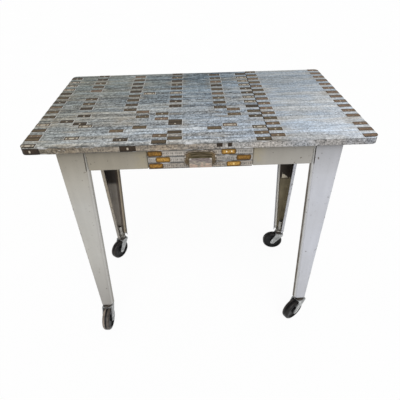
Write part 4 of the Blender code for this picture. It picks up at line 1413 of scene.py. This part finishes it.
# Tones along the rules, from the left end to the right one, and tones of the plates, from dark to bright
TOP_BACK = (
    (0.00, 118, 121, 114),
    (0.30, 120, 127, 127),
    (0.55, 108, 122, 133),
    (0.75, 152, 160, 168),
    (1.00, 171, 178, 186),
)
TOP_FRONT = (
    (0.00, 154, 153, 146),
    (0.40, 173, 177, 182),
    (0.65, 181, 187, 196),
    (0.80, 200, 207, 217),
    (1.00, 222, 228, 238),
)
EDGE_TONES = (
    (0.00, 97, 87, 72),
    (0.45, 126, 117, 107),
    (0.62, 148, 145, 143),
    (0.80, 152, 152, 155),
    (1.00, 142, 142, 146),
)
DRAWER_TONES = ((0.00, 150, 141, 132), (1.00, 164, 156, 148))
PLATE_TONES = ((0.00, 66, 57, 45), (0.40, 86, 74, 57), (0.70, 102, 88, 66), (1.00, 128, 106, 88))
BRASS_TONES = ((0.0, 112, 80, 34), (0.5, 152, 112, 48), (1.0, 184, 144, 72))
EDGE_METAL_TONES = ((0.0, 44, 34, 25), (0.5, 62, 50, 37), (1.0, 92, 77, 60))

# Sizes of a plate, with the width of its dark border and the strength of its mottling
PLATE_SIZE = {"length": 0.034, "width": 0.0143, "border": 0.0026, "mottle": 2.4}
BRASS_SIZE = {"length": 0.034, "width": 0.0146, "border": 0.0050, "mottle": 3.6}
EDGE_PLATE_SIZE = {"length": 0.036, "width": 0.0142, "border": 0.0026, "mottle": 2.2}

# Metals: dark, middle and bright tone, metallic share, roughness, scale of the mottling and rust
METALS = {
    "steel": (((96, 88, 78), (124, 118, 108), (160, 156, 148)), 0.7, 0.42, 50.0, 0.6),
    "dark_steel": (((34, 30, 26), (52, 47, 41), (84, 78, 70)), 0.5, 0.4, 70.0, 0.3),
    "zinc": (((128, 129, 128), (160, 162, 162), (206, 208, 208)), 0.55, 0.32, 90.0, 0.15),
    "stem_zinc": (((120, 118, 112), (164, 162, 156), (206, 204, 198)), 0.5, 0.34, 80.0, 0.2),
}
LEG_PAINT = {"leg_rear_left": ((150, 140, 122), (181, 183, 190))}

RULE_PAINT = rule_finish("rule_paint", TOP_BACK, TOP_FRONT, columns=plate_columns(), calm=0.60)
EDGE_PAINT = rule_finish("edge_paint", EDGE_TONES, EDGE_TONES, specks=1.3, printed=0.2)
DRAWER_PAINT = rule_finish(
    "drawer_paint", DRAWER_TONES, DRAWER_TONES, specks=0.5, printed=0.1, grain=0.5, gap=0.75
)
PLATE_METAL = plate_finish("plate_metal", PLATE_TONES, (44, 36, 27), (194, 185, 168), **PLATE_SIZE)
BRASS_PLATE = plate_finish("brass_plate", BRASS_TONES, (52, 36, 18), (226, 194, 126), **BRASS_SIZE)
EDGE_METAL = plate_finish("edge_metal", EDGE_METAL_TONES, (34, 27, 20), (186, 176, 158), **EDGE_PLATE_SIZE)
RIM_WOOD = rim_finish()
# The drawer's rivet heads, painted near white as highlights
BRASS_RIVET_GLINT = rivet_finish("brass_rivet_glint", (206, 176, 120), (252, 240, 212))
BRIGHT_SCREW = rivet_finish("bright_screw", (112, 106, 98), (214, 210, 204))
PLATE_RIVET = rivet_finish("plate_rivet", (120, 112, 100), (198, 194, 186))
ENAMEL = enamel_finish("enamel")
# The aprons' and the drawer's enamel: stained near the drawer, and in darker tones than the legs' as painted
# shade under the top
STAINED_SHADED_ENAMEL = enamel_finish("stained_shaded_enamel", (152, 146, 133), (164, 162, 158), stain=0.5)
STEEL, DARK_STEEL, ZINC, STEM_ZINC = (metal_finish(name, *look) for name, look in METALS.items())
SCALE_INK = ink_finish()
HOOD_METAL = hood_finish()
HOOD_FRONT = hood_front_finish()
FLANGE_METAL = flange_finish()
RUBBER = rubber_finish()
BOARD = wood_finish()

NODE_FINISHES = (
    ("apron_front", STAINED_SHADED_ENAMEL),
    ("drawer_front", STAINED_SHADED_ENAMEL),
    ("apron_", ENAMEL),
    ("caster_wheel", RUBBER),
    ("caster_fork", ZINC),
    ("caster_axle", ZINC),
    ("caster_stem", DARK_STEEL),
    ("caster_socket", STEM_ZINC),
    ("drawer_pull", HOOD_METAL),
    ("top_board", BOARD),
    ("edge_rule", EDGE_PAINT),
    ("drawer_rule", EDGE_PAINT),
    ("top_rules", EDGE_PAINT),
    ("", STEEL),
)
FIGURES = figure_shapes()
ROW_MIDDLES = row_middles()


def finish_nodes():
    """Gives every node its finish: a leg its own, and any other the first whose name it starts with."""
    for name, obj in NODES.items():
        if name.startswith("leg_"):
            material = enamel_finish(f"{name}_enamel", *LEG_PAINT.get(name, ()), leg=name)
        else:
            material = next(finish for start, finish in NODE_FINISHES if name.startswith(start))
        obj.data.materials.clear()
        obj.data.materials.append(material)


def camera_turn():
    forward = Vector((
        math.sin(CAMERA_YAW) * math.cos(CAMERA_PITCH),
        math.cos(CAMERA_YAW) * math.cos(CAMERA_PITCH),
        -math.sin(CAMERA_PITCH),
    ))
    right = Vector((math.cos(CAMERA_YAW), -math.sin(CAMERA_YAW), 0.0))
    up = right.cross(forward)
    level = right * math.cos(CAMERA_ROLL) + up * math.sin(CAMERA_ROLL)
    rise = up * math.cos(CAMERA_ROLL) - right * math.sin(CAMERA_ROLL)
    return Matrix((level, rise, -forward)).transposed().to_4x4()


def build_camera():
    data = bpy.data.cameras.new("photo_camera")
    data.sensor_width = SENSOR_WIDTH
    data.lens = SENSOR_WIDTH * CAMERA_FOCAL
    data.clip_start = CLIP_START
    camera = bpy.data.objects.new("photo_camera", data)
    _, _, front, back = top_box()
    middle = Vector((0.0, (front + back) / 2, 0.0))
    camera.matrix_world = Matrix.Translation(middle + Vector(CAMERA_PLACE)) @ camera_turn()
    bpy.context.scene.collection.objects.link(camera)
    bpy.context.scene.camera = camera


def build_light():
    """A broad key light and an even sky, in front of a white backdrop that only the camera sees."""
    data = bpy.data.lights.new("key", "SUN")
    data.energy = KEY_STRENGTH
    data.angle = KEY_ANGLE
    key = bpy.data.objects.new("key", data)
    towards = Vector((
        math.sin(KEY_AZIMUTH) * math.cos(KEY_ELEVATION),
        -math.cos(KEY_AZIMUTH) * math.cos(KEY_ELEVATION),
        math.sin(KEY_ELEVATION),
    ))
    key.rotation_euler = towards.to_track_quat("Z", "Y").to_euler()
    bpy.context.scene.collection.objects.link(key)
    world = bpy.context.scene.world or bpy.data.worlds.new("studio")
    bpy.context.scene.world = world
    world.use_nodes = True
    tree = world.node_tree
    sky = tree.nodes["Background"]
    backdrop = tree.nodes.new("ShaderNodeBackground")
    for shader, strength in ((sky, SKY_STRENGTH), (backdrop, BACKDROP_STRENGTH)):
        shader.inputs["Color"].default_value = WHITE
        shader.inputs["Strength"].default_value = strength
    path = tree.nodes.new("ShaderNodeLightPath")
    blend = tree.nodes.new("ShaderNodeMixShader")
    tree.links.new(path.outputs["Is Camera Ray"], blend.inputs[0])
    tree.links.new(sky.outputs[0], blend.inputs[1])
    tree.links.new(backdrop.outputs[0], blend.inputs[2])
    tree.links.new(blend.outputs[0], tree.nodes["World Output"].inputs["Surface"])


def build_floor():
    """A pale floor that shows almost white to the camera and keeps a soft part of the shadow."""
    finish = Finish("pale_floor")
    cloud = finish.noise(finish.place(), 3.0, 2.0)
    finish.colour = finish.ramp(cloud, (0.3, 238, 238, 238), (0.7, 246, 246, 246))
    finish.done(0.9, specular=0.0)
    glow = finish.node("ShaderNodeEmission", {"Color": WHITE, "Strength": 1.0})
    path = finish.node("ShaderNodeLightPath")
    seen = finish.most(*(path.outputs[f"Is {kind} Ray"] for kind in ("Camera", "Glossy", "Transmission")))
    share = finish.product(seen, FLOOR_GLOW)
    blend = finish.node("ShaderNodeMixShader", {0: share, 1: finish.shader.outputs[0], 2: glow.outputs[0]})
    finish.feed(finish.tree.nodes["Material Output"].inputs["Surface"], blend.outputs[0])
    mesh = bpy.data.meshes.new("floor")
    corners = rectangle_outline(-FLOOR_REACH, FLOOR_REACH, -FLOOR_REACH, FLOOR_REACH)
    mesh.from_pydata([(x, y, 0.0) for x, y in corners], [], [(0, 1, 2, 3)])
    mesh.materials.append(finish.material)
    floor = bpy.data.objects.new("floor", mesh)
    bpy.context.scene.collection.objects.link(floor)


bpy.context.scene.view_settings.view_transform = "Standard"
finish_nodes()
build_edges(build_top())
build_drawer_rules()
build_pull()
build_pull_screws()
build_wheels()
build_camera()
build_light()
build_floor()
